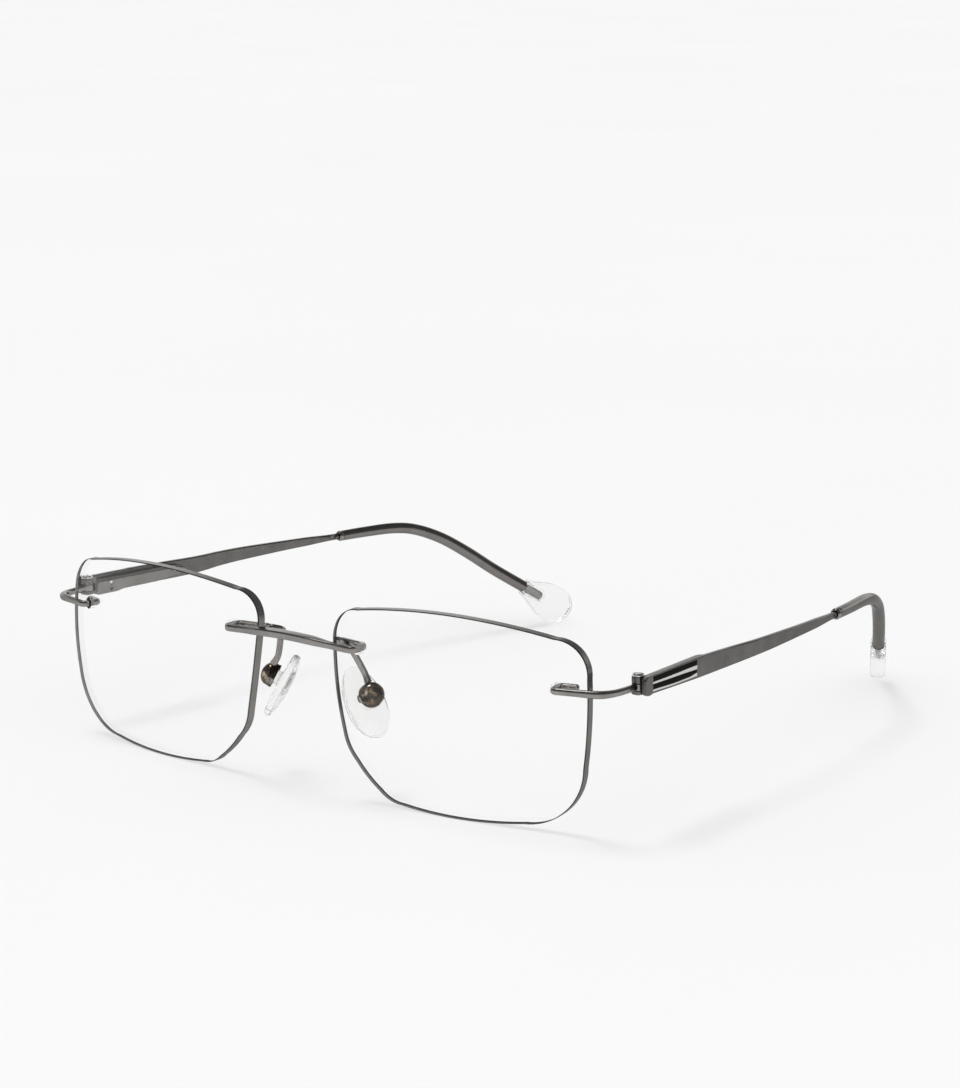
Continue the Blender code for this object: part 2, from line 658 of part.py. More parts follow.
def casing(side):
    """The spring's casing on the temple's inner face, open on the side that the temple closes."""
    outline = [(CASE_START, CASE_HIGH), (CASE_END - 3.0, CASE_HIGH - 0.35),
               (CASE_END, 0.5), (CASE_END - 1.2, -0.6), (CASE_STEP + 10, CASE_LOW),
               (CASE_STEP + 1.2, CASE_LOW), (CASE_STEP - 0.4, CASE_FRONT_LOW),
               (CASE_START, CASE_FRONT_LOW)]
    middle_x = (CASE_IN_X + CASE_OUT_X) / 2
    place = frame_matrix((middle_x, 0, 0), (0, 1, 0), (1, 0, 0))
    shell = side.solid(side.plate("hinge_casing", outline, CASE_OUT_X - CASE_IN_X, 0.25, place),
                       "gunmetal")
    half = SHANK_HALF_Z + SLIDE_ROOM
    left, out = SPRING_X - SHANK_HALF_X - SLIDE_ROOM, CASE_OUT_X + 1
    socket = side.box("casing_socket", (left, CASE_START - 1, -half), (out, SHANK_END + 0.2, half))
    throat = side.box("casing_throat", (SPRING_X - THROAT_HALF, SHANK_END, -THROAT_HALF),
                      (out, THROAT_END + 0.3, THROAT_HALF))
    chamber = side.box("casing_chamber", (left, THROAT_END, -CHAMBER_HALF),
                       (out, CHAMBER_END, CHAMBER_HALF))
    cut(shell, socket, throat, chamber)


# ---------------------------------------------------------------- temples

def plate_rings():
    """Rounded upright sections of the flat arm, from the block to the rod."""
    rings = []
    for y, out_x, middle_z, height in smooth_route(PLATE_STATIONS, 3):
        section = rounded_box(PLATE_THICK, height, PLATE_ROUND, 2)
        rings.append([(out_x - PLATE_THICK / 2 + x, y, middle_z + z) for x, z in section])
    return rings


def tip_direction():
    return (Vector(TIP_ROUTE[-1]) - Vector(TIP_ROUTE[-2])).normalized()


def rod_route(start_y):
    """The rod's centre line from a given distance behind the hinge to its end inside the tip."""
    route = smooth_route(TIP_ROUTE, 2)
    route = [p for p in route if p.y > start_y + 0.5]
    first = Vector(TIP_ROUTE[0]).lerp(Vector(TIP_ROUTE[1]), (start_y - TIP_ROUTE[0][1])
                                      / (TIP_ROUTE[1][1] - TIP_ROUTE[0][1]))
    return [first, *route, route[-1] + tip_direction() * ROD_IN_TIP]


def temple(side):
    """The flat arm, its formed front block and the rod that carries the sleeve."""
    arm = side.loft("temple", plate_rings(), "gunmetal")
    block_place = frame_matrix(((BLOCK_IN_X + BLOCK_OUT_X) / 2, 0, 0), (0, 1, 0), (1, 0, 0))
    middle_y, middle_z = (BLOCK_FRONT_Y + BLOCK_BACK_Y) / 2, (BLOCK_LOW + BLOCK_HIGH) / 2
    shape = rounded_box(BLOCK_BACK_Y - BLOCK_FRONT_Y, BLOCK_HIGH - BLOCK_LOW, 1.2, 4)
    outline = [(y + middle_y, z + middle_z) for y, z in shape]
    block = side.solid(side.plate("front_block", outline, BLOCK_OUT_X - BLOCK_IN_X, 0.2,
                                  block_place))
    rod = side.solid(side.tube("temple_rod", rod_route(TIP_ROUTE[0][1]), ROD_R, resolution=1))
    join(arm, block, rod)
    for i, ends in enumerate(ENAMEL):
        rings = stripe_rings(ends, ENAMEL_OUT_X - ENAMEL_DEPTH, ENAMEL_OUT_X + 1, 0.0)
        cut(arm, side.loft(f"groove_{i}", rings))


def stripe_rings(ends, in_x, out_x, gap):
    """The two end sections of a stripe, drawn in from its groove's edges by a gap."""
    rings = []
    for (y, low, high), inset in zip(ends, (gap, -gap)):
        heights = (low + gap, high - gap)
        rings.append([(in_x, y + inset, heights[0]), (out_x, y + inset, heights[0]),
                      (out_x, y + inset, heights[1]), (in_x, y + inset, heights[1])])
    return rings


def enamel(side):
    for name, ends in zip(("upper", "lower"), ENAMEL):
        rings = stripe_rings(ends, ENAMEL_OUT_X - ENAMEL_DEPTH + ENAMEL_GAP, ENAMEL_OUT_X, ENAMEL_GAP)
        side.loft(f"{name}_enamel", rings, "enamel")


def sleeve(side):
    """The tip's tube over the temple's rod, open at both ends."""
    route = rod_route(SLEEVE_START)
    route[-1] = route[-2] + tip_direction() * (ROD_IN_TIP - 0.3)
    tube = side.tube("sleeve", route, SLEEVE_R, "sleeve", resolution=2, caps=False)
    wall = tube.modifiers.new("Wall", "SOLIDIFY")
    wall.thickness = (SLEEVE_R - SLEEVE_BORE_R) * MM
    wall.offset = -1.0


def collar(side):
    """A ring between the arm's end and the sleeve."""
    inner = ROD_R + 0.12
    profile = [(inner, 0.0), (COLLAR_R - 0.25, 0.0), (COLLAR_R, 0.3), (COLLAR_R, COLLAR_LENGTH),
               (inner, COLLAR_LENGTH)]
    start = rod_route(COLLAR_START)
    place = frame_matrix(start[0], (0, 0, 1), start[1] - start[0])
    side.turned("collar", profile[::-1], place, "steel", steps=20)


def tip(side):
    """The clear flat end: a paddle in the upright plane of the tip, bored for the rod."""
    ahead = tip_direction()
    start = Vector(TIP_ROUTE[-1]) - ahead * 0.6
    across = Vector((ahead.y, -ahead.x, 0.0)).normalized()
    end_r = TIP_WIDTH / 2
    centre = (TEMPLE_Z + start.z - end_r) / -ahead.z    # so that the round end stands on the floor
    half_neck = TIP_NECK / 2
    outline = [(0.0, half_neck), (0.0, -half_neck), (2.0, -half_neck - 0.35),
               (centre - 2.5, -end_r + 0.15)]
    outline += arc((centre, 0.0), end_r, -math.pi / 2, math.pi / 2, 15)
    outline += [(centre - 2.5, end_r - 0.15), (2.0, half_neck + 0.35)]
    place = frame_matrix(start, ahead, across)
    paddle = side.solid(side.plate("temple_tip", outline[::-1], TIP_THICK, 0.7, place), "clear")
    bore = side.rod("tip_bore", start - ahead * 2, start + ahead * (ROD_IN_TIP + 0.9),
                    SLEEVE_R + 0.1, segments=20)
    cut(paddle, bore)


# ---------------------------------------------------------------- assembly

def build_side(name, mirrored, front):
    prefix = name + "_"
    frame = empty(prefix + "side", front, mirrored=mirrored)
    fixed = Builder(prefix, frame)
    lens(fixed)
    bushing(fixed, "bridge_bushing", (BRIDGE_LINK_X, 0.9, BRIDGE_Z), (0, 1, 0))
    bushing(fixed, "endpiece_bushing", (END_LINK_X, END_LINK_Y, END_Z),
            (-math.sin(END_ANGLE), math.cos(END_ANGLE), 0))
    endpiece(fixed)
    hinge_screw(fixed)
    pad_arm(fixed)
    pad_cup(fixed)
    pad_screw(fixed)
    nose_pad(fixed)
    pad_tab(fixed)
    hinge = empty(prefix + "hinge_axis", frame, (HINGE_X, HINGE_Y, TEMPLE_Z), TOE_IN)
    moving = Builder(prefix, hinge)
    slider(moving)
    spring_stop(moving)
    spring(moving)
    casing(moving)
    temple(moving)
    enamel(moving)
    collar(moving)
    sleeve(moving)
    tip(moving)


def main():
    clear_scene()
    Builder.parts = new_collection("rimless_eyeglasses")
    Builder.cutters = new_collection("cutters")
    front = empty("front_frame", location=(0.0, LENS_PLANE_Y, 0.0))
    bridge(Builder("", front))
    for name, mirrored in (("left", False), ("right", True)):
        build_side(name, mirrored, front)


main()
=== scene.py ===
"""The looks of the rimless eyeglasses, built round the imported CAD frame.

Shapes are modelled in millimetres on the wearer's left side and scaled to metres as each mesh
is made. The right side is the same shape mirrored in X.
"""

import math

import bmesh
import bpy
from mathutils import Matrix, Vector, geometry


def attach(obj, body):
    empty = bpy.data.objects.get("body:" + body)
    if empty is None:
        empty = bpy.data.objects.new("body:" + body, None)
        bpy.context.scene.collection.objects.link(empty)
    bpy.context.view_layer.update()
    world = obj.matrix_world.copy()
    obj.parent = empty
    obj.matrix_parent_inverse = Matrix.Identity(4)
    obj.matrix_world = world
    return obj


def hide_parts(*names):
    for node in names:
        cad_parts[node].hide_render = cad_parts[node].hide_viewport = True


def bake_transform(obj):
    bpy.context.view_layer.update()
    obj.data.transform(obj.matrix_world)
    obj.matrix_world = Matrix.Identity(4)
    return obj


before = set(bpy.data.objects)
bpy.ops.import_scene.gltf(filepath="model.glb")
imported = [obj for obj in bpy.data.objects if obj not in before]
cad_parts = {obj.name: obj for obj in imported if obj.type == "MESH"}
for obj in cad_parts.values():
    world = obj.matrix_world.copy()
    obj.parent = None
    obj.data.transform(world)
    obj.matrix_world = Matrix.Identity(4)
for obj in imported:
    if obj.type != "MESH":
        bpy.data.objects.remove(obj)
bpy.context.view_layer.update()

MM, QUARTER = 0.001, math.pi / 2

# Placement: the glasses' frame, and the temple's own frame at the hinge
LENS_PLANE_Y = -70.32
HINGE_X, HINGE_Y, TEMPLE_Z = 66.15, 15.2, 26.4
TOE_IN = math.radians(4.73)
FRONT = Matrix.Translation((0.0, LENS_PLANE_Y, 0.0))
PIVOT = Matrix.Translation((HINGE_X, HINGE_Y, TEMPLE_Z))
HINGE = FRONT @ PIVOT @ Matrix.Rotation(TOE_IN, 4, "Z")

# Lens; its corners are (u, v, radius), and each edge between them bows out a little
LENS_CENTRE_X, LENS_CENTRE_Z = 34.8, 17.45
LENS_THICK, BASE_CURVE = 1.8, 105.0
LENS_WRAP, LENS_TILT = math.radians(5.8), math.radians(-2.1)
LENS_CORNERS = ((27.7, 17.5, 6.5), (26.2, -16.6, 12.0), (-13.4, -16.9, 7.0), (-22.8, -7.9, 9.0),
                (-26.5, 18.2, 5.7))
EDGE_BOW = (0.45, 0.75, 0.25, 0.35, 1.95)
EDGE_CHAMFER = 0.16
GRID_STEP = 2.1
HOLE_R, HOLE_POINTS, HOLE_BORDER = 1.06, 28, 0.5
BUSHING_BORE, FLANGE_THICK, FLANGE_PROUD = 0.72, 0.1, 0.16

# Wire mounts
BRIDGE_LINK_X, BRIDGE_Z, BRIDGE_RISE = 15.2, 28.55, 0.75
BRIDGE_DEPTH, BRIDGE_HEIGHT = 1.15, 1.3
BRIDGE_SWELL, BRIDGE_TILT, BRIDGE_TAPER = 0.45, 0.12, 5.5
BRIDGE_FRONT_Y, BRIDGE_BACK_Y, BRIDGE_MIDDLE_Y = -1.2, 3.0, -1.9
BACK_LEG_END = Vector((8.9, 3.8, 28.55))
MOUNT_TURN, END_TURN = 1.0, 0.8
END_LINK_X, END_LINK_Y, END_Z = 55.8, 5.25, 26.45
END_ANGLE = math.radians(17.0)
END_SPREAD, END_LEG = 2.0, 3.6
END_DEPTH, END_HEIGHT = 1.2, 1.2
END_AXIS = (-math.sin(END_ANGLE), math.cos(END_ANGLE), 0.0)
END_BEND = ((64.75, 6.35), (65.75, 8.3), (66.1, 10.8))
WIRE_ROUND = 0.46

# Hinge
BARREL_R, SCREW_HOLE_R = 1.15, 0.62
SCREW_R, SCREW_HEAD_R, SCREW_HEAD = 0.55, 1.08, 0.55
EYE_LOW, EYE_HIGH = -0.55, 0.65
KNUCKLE_LOW, KNUCKLE_HIGH, KNUCKLE_GAP = -1.3, 1.85, 0.06
SPRING_X, SHANK_START, SHANK_END = -0.1, 1.4, 5.2
SHANK_HALF_X, SHANK_HALF_Z, SLIDE_ROOM = 0.65, 0.85, 0.08
THROAT_HALF, THROAT_END, CHAMBER_HALF, CHAMBER_END = 0.42, 6.2, 0.86, 21.0
SLIDER_ROD_R, SLIDER_ROD_END = 0.3, 17.0
SPRING_R, SPRING_WIRE_R, SPRING_TURNS = 0.52, 0.12, 7
SPRING_START, SPRING_END = 6.4, 15.9
CASE_IN_X, CASE_OUT_X = -1.1, 1.1
CASE_START, CASE_STEP, CASE_END = 1.7, 7.3, 25.5
CASE_FRONT_LOW, CASE_LOW, CASE_HIGH, CASE_REAR_HIGH = -1.75, -1.45, 1.08, 0.96
CASE_DIMPLES = ((5.2, -0.62, 0.62, 0.24), (22.0, 0.1, 0.42, 0.12))   # (y, z, radius, depth)
CASE_STUDS = {"casing_stud": (5.1, 0.5, 0.42), "casing_pin": (22.0, 0.1, 0.27)}

# Temple, in its own frame: +Y along it from the hinge axis, +X outwards
PLATE_STATIONS = (          # (y, outer face's x, middle's z, height)
    (1.6, 2.1, 0.2, 3.25), (17.5, 2.12, -0.13, 3.75), (30.0, 2.45, -0.4, 3.4),
    (38.0, 3.22, -0.36, 2.95), (46.0, 3.48, -0.4, 2.6), (60.0, 3.27, -0.6, 1.9),
    (71.6, 2.7, -0.8, 1.6))
PLATE_THICK, PLATE_ROUND, ROUNDING_START = 0.95, 0.24, 62.0
BLOCK_OUTLINE = ((-1.3, -0.6), (-0.8, -1.3), (0.2, -1.5), (1.2, -1.35), (1.35, -0.8),
                 (1.35, 1.75), (1.0, 2.05), (-0.8, 2.05), (-1.3, 1.5))
BLOCK_X, BLOCK_THICK = 1.86, 0.95
ROD_R = 0.6
TIP_ROUTE = (
    (2.22, 71.0, -0.78), (2.06, 74.0, -0.82), (1.65, 80.0, -0.9), (0.7, 88.0, -1.15),
    (-0.3, 94.0, -2.2), (-2.2, 100.3, -4.8), (-4.6, 106.2, -8.6), (-7.3, 112.2, -13.1),
    (-10.6, 119.1, -17.9))
TIP_WAY = (Vector(TIP_ROUTE[-1]) - Vector(TIP_ROUTE[-2])).normalized()
SLEEVE_START, ROD_IN_TIP = 73.4, 4.6
COLLAR_START, COLLAR_LENGTH = 72.2, 1.1
TIP_WIDTH, TIP_NECK, TIP_THICK, TIP_BORE_R = 8.2, 3.6, 3.2, 1.36

# The stripes' edges as shares of the plate's height, each at shares of the inlay's length
INLAY_START, INLAY_END, INLAY_THICK = 1.3, 17.35, 0.34
STRIPE_EDGES = {
    "top": ((0.0, 0.955), (1.0, 0.935)),
    "upper_low": ((0.0, 0.665), (0.5, 0.655), (1.0, 0.675)),
    "lower_high": ((0.0, 0.54), (0.5, 0.505), (1.0, 0.47)),
    "lower_low": ((0.0, 0.245), (0.5, 0.2), (0.8, 0.215), (1.0, 0.3)),
    "line_low": ((0.0, 0.13), (0.5, 0.1), (1.0, 0.13)),
}

# Nose pads
PAD_CENTRE = Vector((10.4, 8.7, 16.35))
PAD_UP = Vector((-0.507, 0.038, 0.861)).normalized()
PAD_NORMAL_HINT = Vector((-0.76, 0.45, -0.47))
PAD_LENGTH, PAD_WIDTH, PAD_THICK, PAD_FACE = 14.0, 7.7, 2.3, 0.9
STEM_STAGES = (             # (height, width, length, corner radius), from the pad to the foot
    (-0.35, 3.1, 4.6, 0.9), (-0.6, 2.2, 3.6, 0.7), (-1.0, 1.45, 2.8, 0.5), (-1.6, 1.2, 2.6, 0.4),
    (-2.75, 1.2, 2.6, 0.4), (-2.9, 0.9, 2.3, 0.35))
CUP_R, CUP_DEPTH, CUP_FORWARD, CUP_RISE = 2.25, 2.6, 2.9, 0.5
CUP_ASIDE, CUP_WALL = -0.75, 0.42
PAD_SCREW_OUT, PAD_SCREW_R, PAD_SCREW_HOLE_R = 0.75, 0.4, 0.48
ARM_R = 0.6


# ---- plane and space geometry

def arc(centre, radius, start, end, count):
    steps = [start + (end - start) * i / (count - 1) for i in range(count)]
    return [(centre[0] + radius * math.cos(a), centre[1] + radius * math.sin(a)) for a in steps]


def rounded_box(width, height, radius, corner_points):
    x, y = width / 2 - radius, height / 2 - radius
    points = []
    for i, centre in enumerate(((x, y), (-x, y), (-x, -y), (x, -y))):
        points += arc(centre, radius, i * QUARTER, (i + 1) * QUARTER, corner_points + 1)
    return points


def softened(points, radius, count=5, closed=True):
    """A polygon with its corners rounded."""
    result = []
    last = len(points) - 1
    for i, here in enumerate(points):
        here = Vector(here)
        if not closed and i in (0, last):
            result.append(tuple(here))
            continue
        before, after = Vector(points[i - 1]) - here, Vector(points[(i + 1) % len(points)]) - here
        reach = min(radius, before.length * 0.45, after.length * 0.45)
        start, end = here + before.normalized() * reach, here + after.normalized() * reach
        for k in range(count + 1):
            t = k / count
            result.append(tuple(start.lerp(here, t).lerp(here.lerp(end, t), t)))
    return result


def smooth_route(points, steps):
    """Points along a Catmull-Rom curve through the given ones."""
    knots = [Vector(p) for p in points]
    knots = [2 * knots[0] - knots[1], *knots, 2 * knots[-1] - knots[-2]]
    route = []
    for a, b, c, d in zip(knots, knots[1:], knots[2:], knots[3:]):
        for i in range(steps):
            t = i / steps
            route.append(0.5 * (2 * b + (c - a) * t + (2 * a - 5 * b + 4 * c - d) * t ** 2
                                + (3 * b - a - 3 * c + d) * t ** 3))
    return route + [knots[-2]]


def smooth_step(t):
    t = min(max(t, 0.0), 1.0)
    return t * t * (3 - 2 * t)


def frame_matrix(origin, x_axis, z_axis):
    x, z = Vector(x_axis).normalized(), Vector(z_axis).normalized()
    turn = Matrix((x, z.cross(x), z)).transposed().to_4x4()
    return Matrix.Translation(Vector(origin)) @ turn


def outward(x, y, z):
    """A place whose own Z faces along X, away from the wearer's head."""
    return frame_matrix((x, y, z), (0, 1, 0), (1, 0, 0))


def rounded_polygon(corners, bows, corner_points, edge_points):
    """A closed outline: a polygon with its corners rounded and its edges bowed out."""
    count = len(corners)
    rounded = []
    for i, (x, y, radius) in enumerate(corners):
        here = Vector((x, y))
        back = (Vector(corners[i - 1][:2]) - here).normalized()
        ahead = (Vector(corners[(i + 1) % count][:2]) - here).normalized()
        half = back.angle(ahead) / 2
        centre = here + (back + ahead).normalized() * radius / math.sin(half)
        start = here + back * radius / math.tan(half) - centre
        end = here + ahead * radius / math.tan(half) - centre
        first = math.atan2(start.y, start.x)
        rounded.append(arc(centre, radius, first, first - start.angle(end), corner_points))
    outline = []
    for i, points in enumerate(rounded):
        outline += points
        a, b = Vector(points[-1]), Vector(rounded[(i + 1) % count][0])
        out = Vector((-(b - a).y, (b - a).x)).normalized()
        for k in range(1, edge_points):
            t = k / edge_points
            outline.append(a.lerp(b, t) + out * bows[i] * 4 * t * (1 - t))
    return [Vector(p) for p in outline]


def inset(outline, distance):
    """An outline moved inwards by a distance, whichever way round it runs."""
    count = len(outline)
    points = [Vector(p) for p in outline]
    area = sum(a.x * b.y - b.x * a.y for a, b in zip(points, points[1:] + points[:1]))
    turn = 1.0 if area > 0 else -1.0
    moved = []
    for i, here in enumerate(points):
        before = (here - points[i - 1]).normalized()
        after = (points[(i + 1) % count] - here).normalized()
        normals = [Vector((-d.y, d.x)) * turn for d in (before, after)]
        middle = (normals[0] + normals[1]).normalized()
        moved.append(here + middle * distance / max(middle.dot(normals[0]), 0.35))
    return moved


# ---- mesh building

def bridge_rings(bm, rings, closed_ends=True, loop=False, material=0):
    """Joins rings of vertices one to the next. A ring of one vertex is a pole."""
    pairs = list(zip(rings, rings[1:]))
    if loop:
        pairs.append((rings[-1], rings[0]))
    for near, far in pairs:
        count = max(len(near), len(far))
        for i in range(count):
            corners = []
            for vert in (near[i % len(near)], near[(i + 1) % len(near)],
                         far[(i + 1) % len(far)], far[i % len(far)]):
                if vert not in corners:
                    corners.append(vert)
            if len(corners) > 2:
                bm.faces.new(corners).material_index = material
    if closed_ends and not loop:
        for ring in (rings[0], rings[-1]):
            if len(ring) > 2:
                bm.faces.new(ring).material_index = material


def skin(rows, **how):
    """A mesh over rows of points, each row joined to the next."""
    bm = bmesh.new()
    bridge_rings(bm, [[bm.verts.new(p) for p in row] for row in rows], **how)
    return bm


def swept(route, section, up=(0.0, 0.0, 1.0), end_round=(0.0, 0.0), sizes=None):
    """A section carried along a route. `up` keeps it level; None lets it turn as little as it can.

    end_round gives each end's edge radius, and sizes one scale of the section per route point.
    A list of sections, one per route point, may stand in place of one.
    """
    route = [Vector(p) for p in route]
    sections = section if isinstance(section[0], list) else [section] * len(route)
    sections = [[Vector(p) for p in row] for row in sections]
    half = Vector((max(p.x for p in sections[0]), max(p.y for p in sections[0])))
    tangents = []
    for i, point in enumerate(route):
        before = (point - route[i - 1]).normalized() if i else Vector()
        after = (route[i + 1] - point).normalized() if i + 1 < len(route) else Vector()
        tangents.append((before + after).normalized())
    frames = []
    side = None
    for tangent in tangents:
        if up is not None:
            side = tangent.cross(Vector(up)).normalized()
        elif side is None:
            side = tangent.orthogonal().normalized()
        else:
            side = (side - tangent * side.dot(tangent)).normalized()
        frames.append((side, side.cross(tangent)))
    sizes = sizes or [1.0] * len(route)

    def ring(index, centre, scale_x, scale_y):
        across, above = frames[index]
        return [centre + across * p.x * scale_x + above * p.y * scale_y for p in sections[index]]

    def end_rings(index, outwards, radius, steps=6):
        size, made = sizes[index], []
        for k in range(steps + 1) if radius else ():
            angle = QUARTER * k / steps
            reach, draw = radius * math.sin(angle) - radius, radius * (1 - math.cos(angle))
            scale = [size * max(h - draw / size, 0.02) / h for h in half]
            made.append(ring(index, route[index] + outwards * reach, *scale))
        return made or [ring(index, route[index], size, size)]

    rows = end_rings(0, -tangents[0], end_round[0])[::-1]
    rows += [ring(i, route[i], sizes[i], sizes[i]) for i in range(1, len(route) - 1)]
    return skin(rows + end_rings(-1, tangents[-1], end_round[1]))


def round_section(radius, count=24):
    angles = [2 * math.pi * i / count for i in range(count)]
    return [(radius * math.cos(a), radius * math.sin(a)) for a in angles]


def turned(profile, place, steps=48, edge=0.0, points=4):
    """A profile of (radius, height) turned round the local Z, its corners first rounded.

    It closes on itself when it starts off the axis.
    """
    tube = profile[0][0] > 1e-6
    if edge:
        profile = softened(profile, edge, points, closed=tube)
    rows = [[place @ Vector((x, y, height))
             for x, y in (round_section(radius, steps) if radius > 1e-6 else [(0.0, 0.0)])]
            for radius, height in profile]
    return skin(rows, closed_ends=False, loop=tube)


def cylinder(radius, low, high, place, *how):
    return turned([(0.0, low), (radius, low), (radius, high), (0.0, high)], place, *how)


def slab(outline, thick, edge, place, steps=5):
    """A flat outline thickened about its plane, with rounded edges and flat faces."""
    profile = [(edge + 0.04, -thick / 2)]
    for angle in (QUARTER * k / steps for k in range(steps + 1)):
        profile.append((edge * (1 - math.sin(angle)), -thick / 2 + edge * (1 - math.cos(angle))))
    profile += [(draw, -height) for draw, height in reversed(profile)]
    rows = []
    for draw, height in profile:
        points = inset(outline, draw) if draw > 1e-6 else outline
        rows.append([place @ Vector((*p, height)) for p in points])
    return skin(rows)


def block(low, high, place=Matrix.Identity(4)):
    """A box between two corners, for joining to other shapes or cutting them."""
    size = [h - l for l, h in zip(low, high)]
    middle = [(h + l) / 2 for l, h in zip(low, high)]
    bm = bmesh.new()
    made = bmesh.ops.create_cube(bm, size=1.0)["verts"]
    bmesh.ops.transform(bm, matrix=place @ Matrix.Translation(middle)
                        @ Matrix.Diagonal((*size, 1.0)), verts=made)
    return bm


def linked(name, data):
    """A new object in the scene."""
    obj = bpy.data.objects.new(name, data)
    bpy.context.scene.collection.objects.link(obj)
    return obj


def mesh_object(name, bm):
    data = bpy.data.meshes.new(name)
    bm.to_mesh(data)
    bm.free()
    return linked(name, data)


def combined(operation, body, *others):
    """One closed mesh from several, by exact booleans in turn."""
    for other in others:
        objects = []
        for bm in (body, other):
            bmesh.ops.triangulate(bm, faces=[face for face in bm.faces if len(face.verts) > 4])
            bmesh.ops.recalc_face_normals(bm, faces=bm.faces)
            objects.append(mesh_object("boolean", bm))
        step = objects[0].modifiers.new("Boolean", "BOOLEAN")
        step.operation, step.object, step.solver = operation, objects[1], "EXACT"
        bpy.context.view_layer.update()
        graph = bpy.context.evaluated_depsgraph_get()
        body = bmesh.new()
        body.from_mesh(objects[0].evaluated_get(graph).to_mesh())
        for obj in objects:
            data = obj.data
            bpy.data.objects.remove(obj, do_unlink=True)
            bpy.data.meshes.remove(data)
    return body


class Side:
    """The left side, the right side as its mirror image, or with no name the middle."""

    def __init__(self, name, materials):
        self.prefix = name + "_" if name else ""
        self.mirrored = name == "right"
        self.materials = materials

    def piece(self, name, bm, body, kinds, slot, stands_for=None, sharp=40.0):
        """Makes the object, sets it on its body when it has one, and hides the CAD part it stands
        for.
        """
        place = FRONT if body in ("front", "pad") else HINGE
        bmesh.ops.recalc_face_normals(bm, faces=bm.faces)
        bm.transform(Matrix.Diagonal((-MM if self.mirrored else MM, MM, MM, 1.0)) @ place)
        if self.mirrored:
            bmesh.ops.reverse_faces(bm, faces=bm.faces)
        obj = mesh_object(self.prefix + name, bm)
        for kind in kinds.split():
            obj.data.materials.append(self.materials[kind])
        obj.data.shade_smooth()
        obj.data.set_sharp_from_angle(angle=math.radians(sharp))
        if body:
            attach(obj, body if body == "front" else self.prefix + body)
        if stands_for:
            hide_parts(self.prefix + stands_for)
        return obj


# ---- materials

class Nodes:
    """Short calls for building a shader."""

    def __init__(self, tree):
        self.tree = tree
        self.tree.nodes.clear()

    def add(self, kind, *values, **settings):
        """A node. Values go to its first inputs in turn, settings to attributes or inputs."""
        node = self.tree.nodes.new("ShaderNode" + kind)
        for key, value in settings.items():
            if hasattr(node, key):
                setattr(node, key, value)
            else:
                self.feed(value, node.inputs[key.replace("_", " ")])
        for value, socket in zip(values, node.inputs):
            self.feed(value, socket)
        return node

    def feed(self, value, socket):
        """Links a socket to another node's output, or sets it to a plain value."""
        if isinstance(value, bpy.types.NodeSocket):
            self.tree.links.new(value, socket)
        else:
            socket.default_value = value

    def coordinates(self, scale=(1.0, 1.0, 1.0), turn=(0.0, 0.0, 0.0)):
        """Object coordinates in millimetres, stretched and turned."""
        where = self.add("TexCoord").outputs["Object"]
        return self.add("Mapping", Vector=where, Scale=[s / MM for s in scale],
                        Rotation=turn).outputs["Vector"]

    def noise(self, scale, detail, roughness=0.5, where=None):
        return self.add("TexNoise", Vector=where or self.coordinates(), Scale=scale,
                        Detail=detail, Roughness=roughness).outputs["Fac"]

    def spread(self, value, low, high, from_low=0.3, from_high=0.7):
        return self.add("MapRange", Value=value, From_Min=from_low, From_Max=from_high,
                        To_Min=low, To_Max=high).outputs["Result"]

    def colours(self, factor, *stops):
        ramp = self.add("ValToRGB", Fac=factor)
        elements = ramp.color_ramp.elements
        while len(elements) < len(stops):
            elements.new(0.5)
        for element, (place, colour) in zip(elements, stops):
            element.position = place
            element.color = (*colour, 1.0)
        return ramp.outputs["Color"]

    def mixed_colour(self, factor, first, second):
        return self.add("MixRGB", factor, first, second).outputs["Color"]

    def maths(self, operation, *values, **settings):
        return self.add("Math", *values, operation=operation, **settings).outputs["Value"]

    def bump(self, height, strength, distance):
        return self.add("Bump", Height=height, Strength=strength, Distance=distance * MM
                        ).outputs["Normal"]

    def mixed_shader(self, factor, first, second):
        return self.add("MixShader", factor, first, second).outputs["Shader"]


def material(name, build):
    made = bpy.data.materials.new(name)
    made.use_nodes = True
    nodes = Nodes(made.node_tree)
    nodes.add("OutputMaterial", build(nodes))
    return made


def principled(nodes, **settings):
    return nodes.add("BsdfPrincipled", **settings).outputs["BSDF"]


EDGE_TINT = (0.5, 0.5, 0.5, 1.0)        # how far a metal brightens towards its outline


def metal(dark, light, rough, grain=(1.0, 1.0, 1.0), bump=0.25):
    """A worked metal: cloudy tone, fine grain in the gloss and in the relief."""
    def build(nodes):
        cloud = nodes.noise(0.35, 4.0)
        fine = nodes.noise(6.0, 4.0, 0.65, nodes.coordinates(grain))
        tone = nodes.colours(nodes.spread(cloud, 0.0, 1.0), (0.0, dark), (1.0, light))
        return principled(nodes, Base_Color=tone, Metallic=1.0, Specular_Tint=EDGE_TINT,
                          Roughness=nodes.spread(fine, *rough),
                          Normal=nodes.bump(fine, bump, 0.012))
    return build


def mottled(nodes):
    """Polished bronze with darker and browner patches."""
    patch = nodes.noise(0.85, 3.0)
    fine = nodes.noise(5.0, 4.0)
    tone = nodes.colours(patch, (0.36, (0.03, 0.026, 0.022)), (0.47, (0.07, 0.062, 0.052)),
                         (0.56, (0.16, 0.115, 0.065)), (0.68, (0.42, 0.38, 0.32)))
    return principled(nodes, Base_Color=tone, Metallic=1.0, Specular_Tint=EDGE_TINT,
                      Roughness=nodes.spread(fine, 0.12, 0.24),
                      Normal=nodes.bump(patch, 0.5, 0.15))


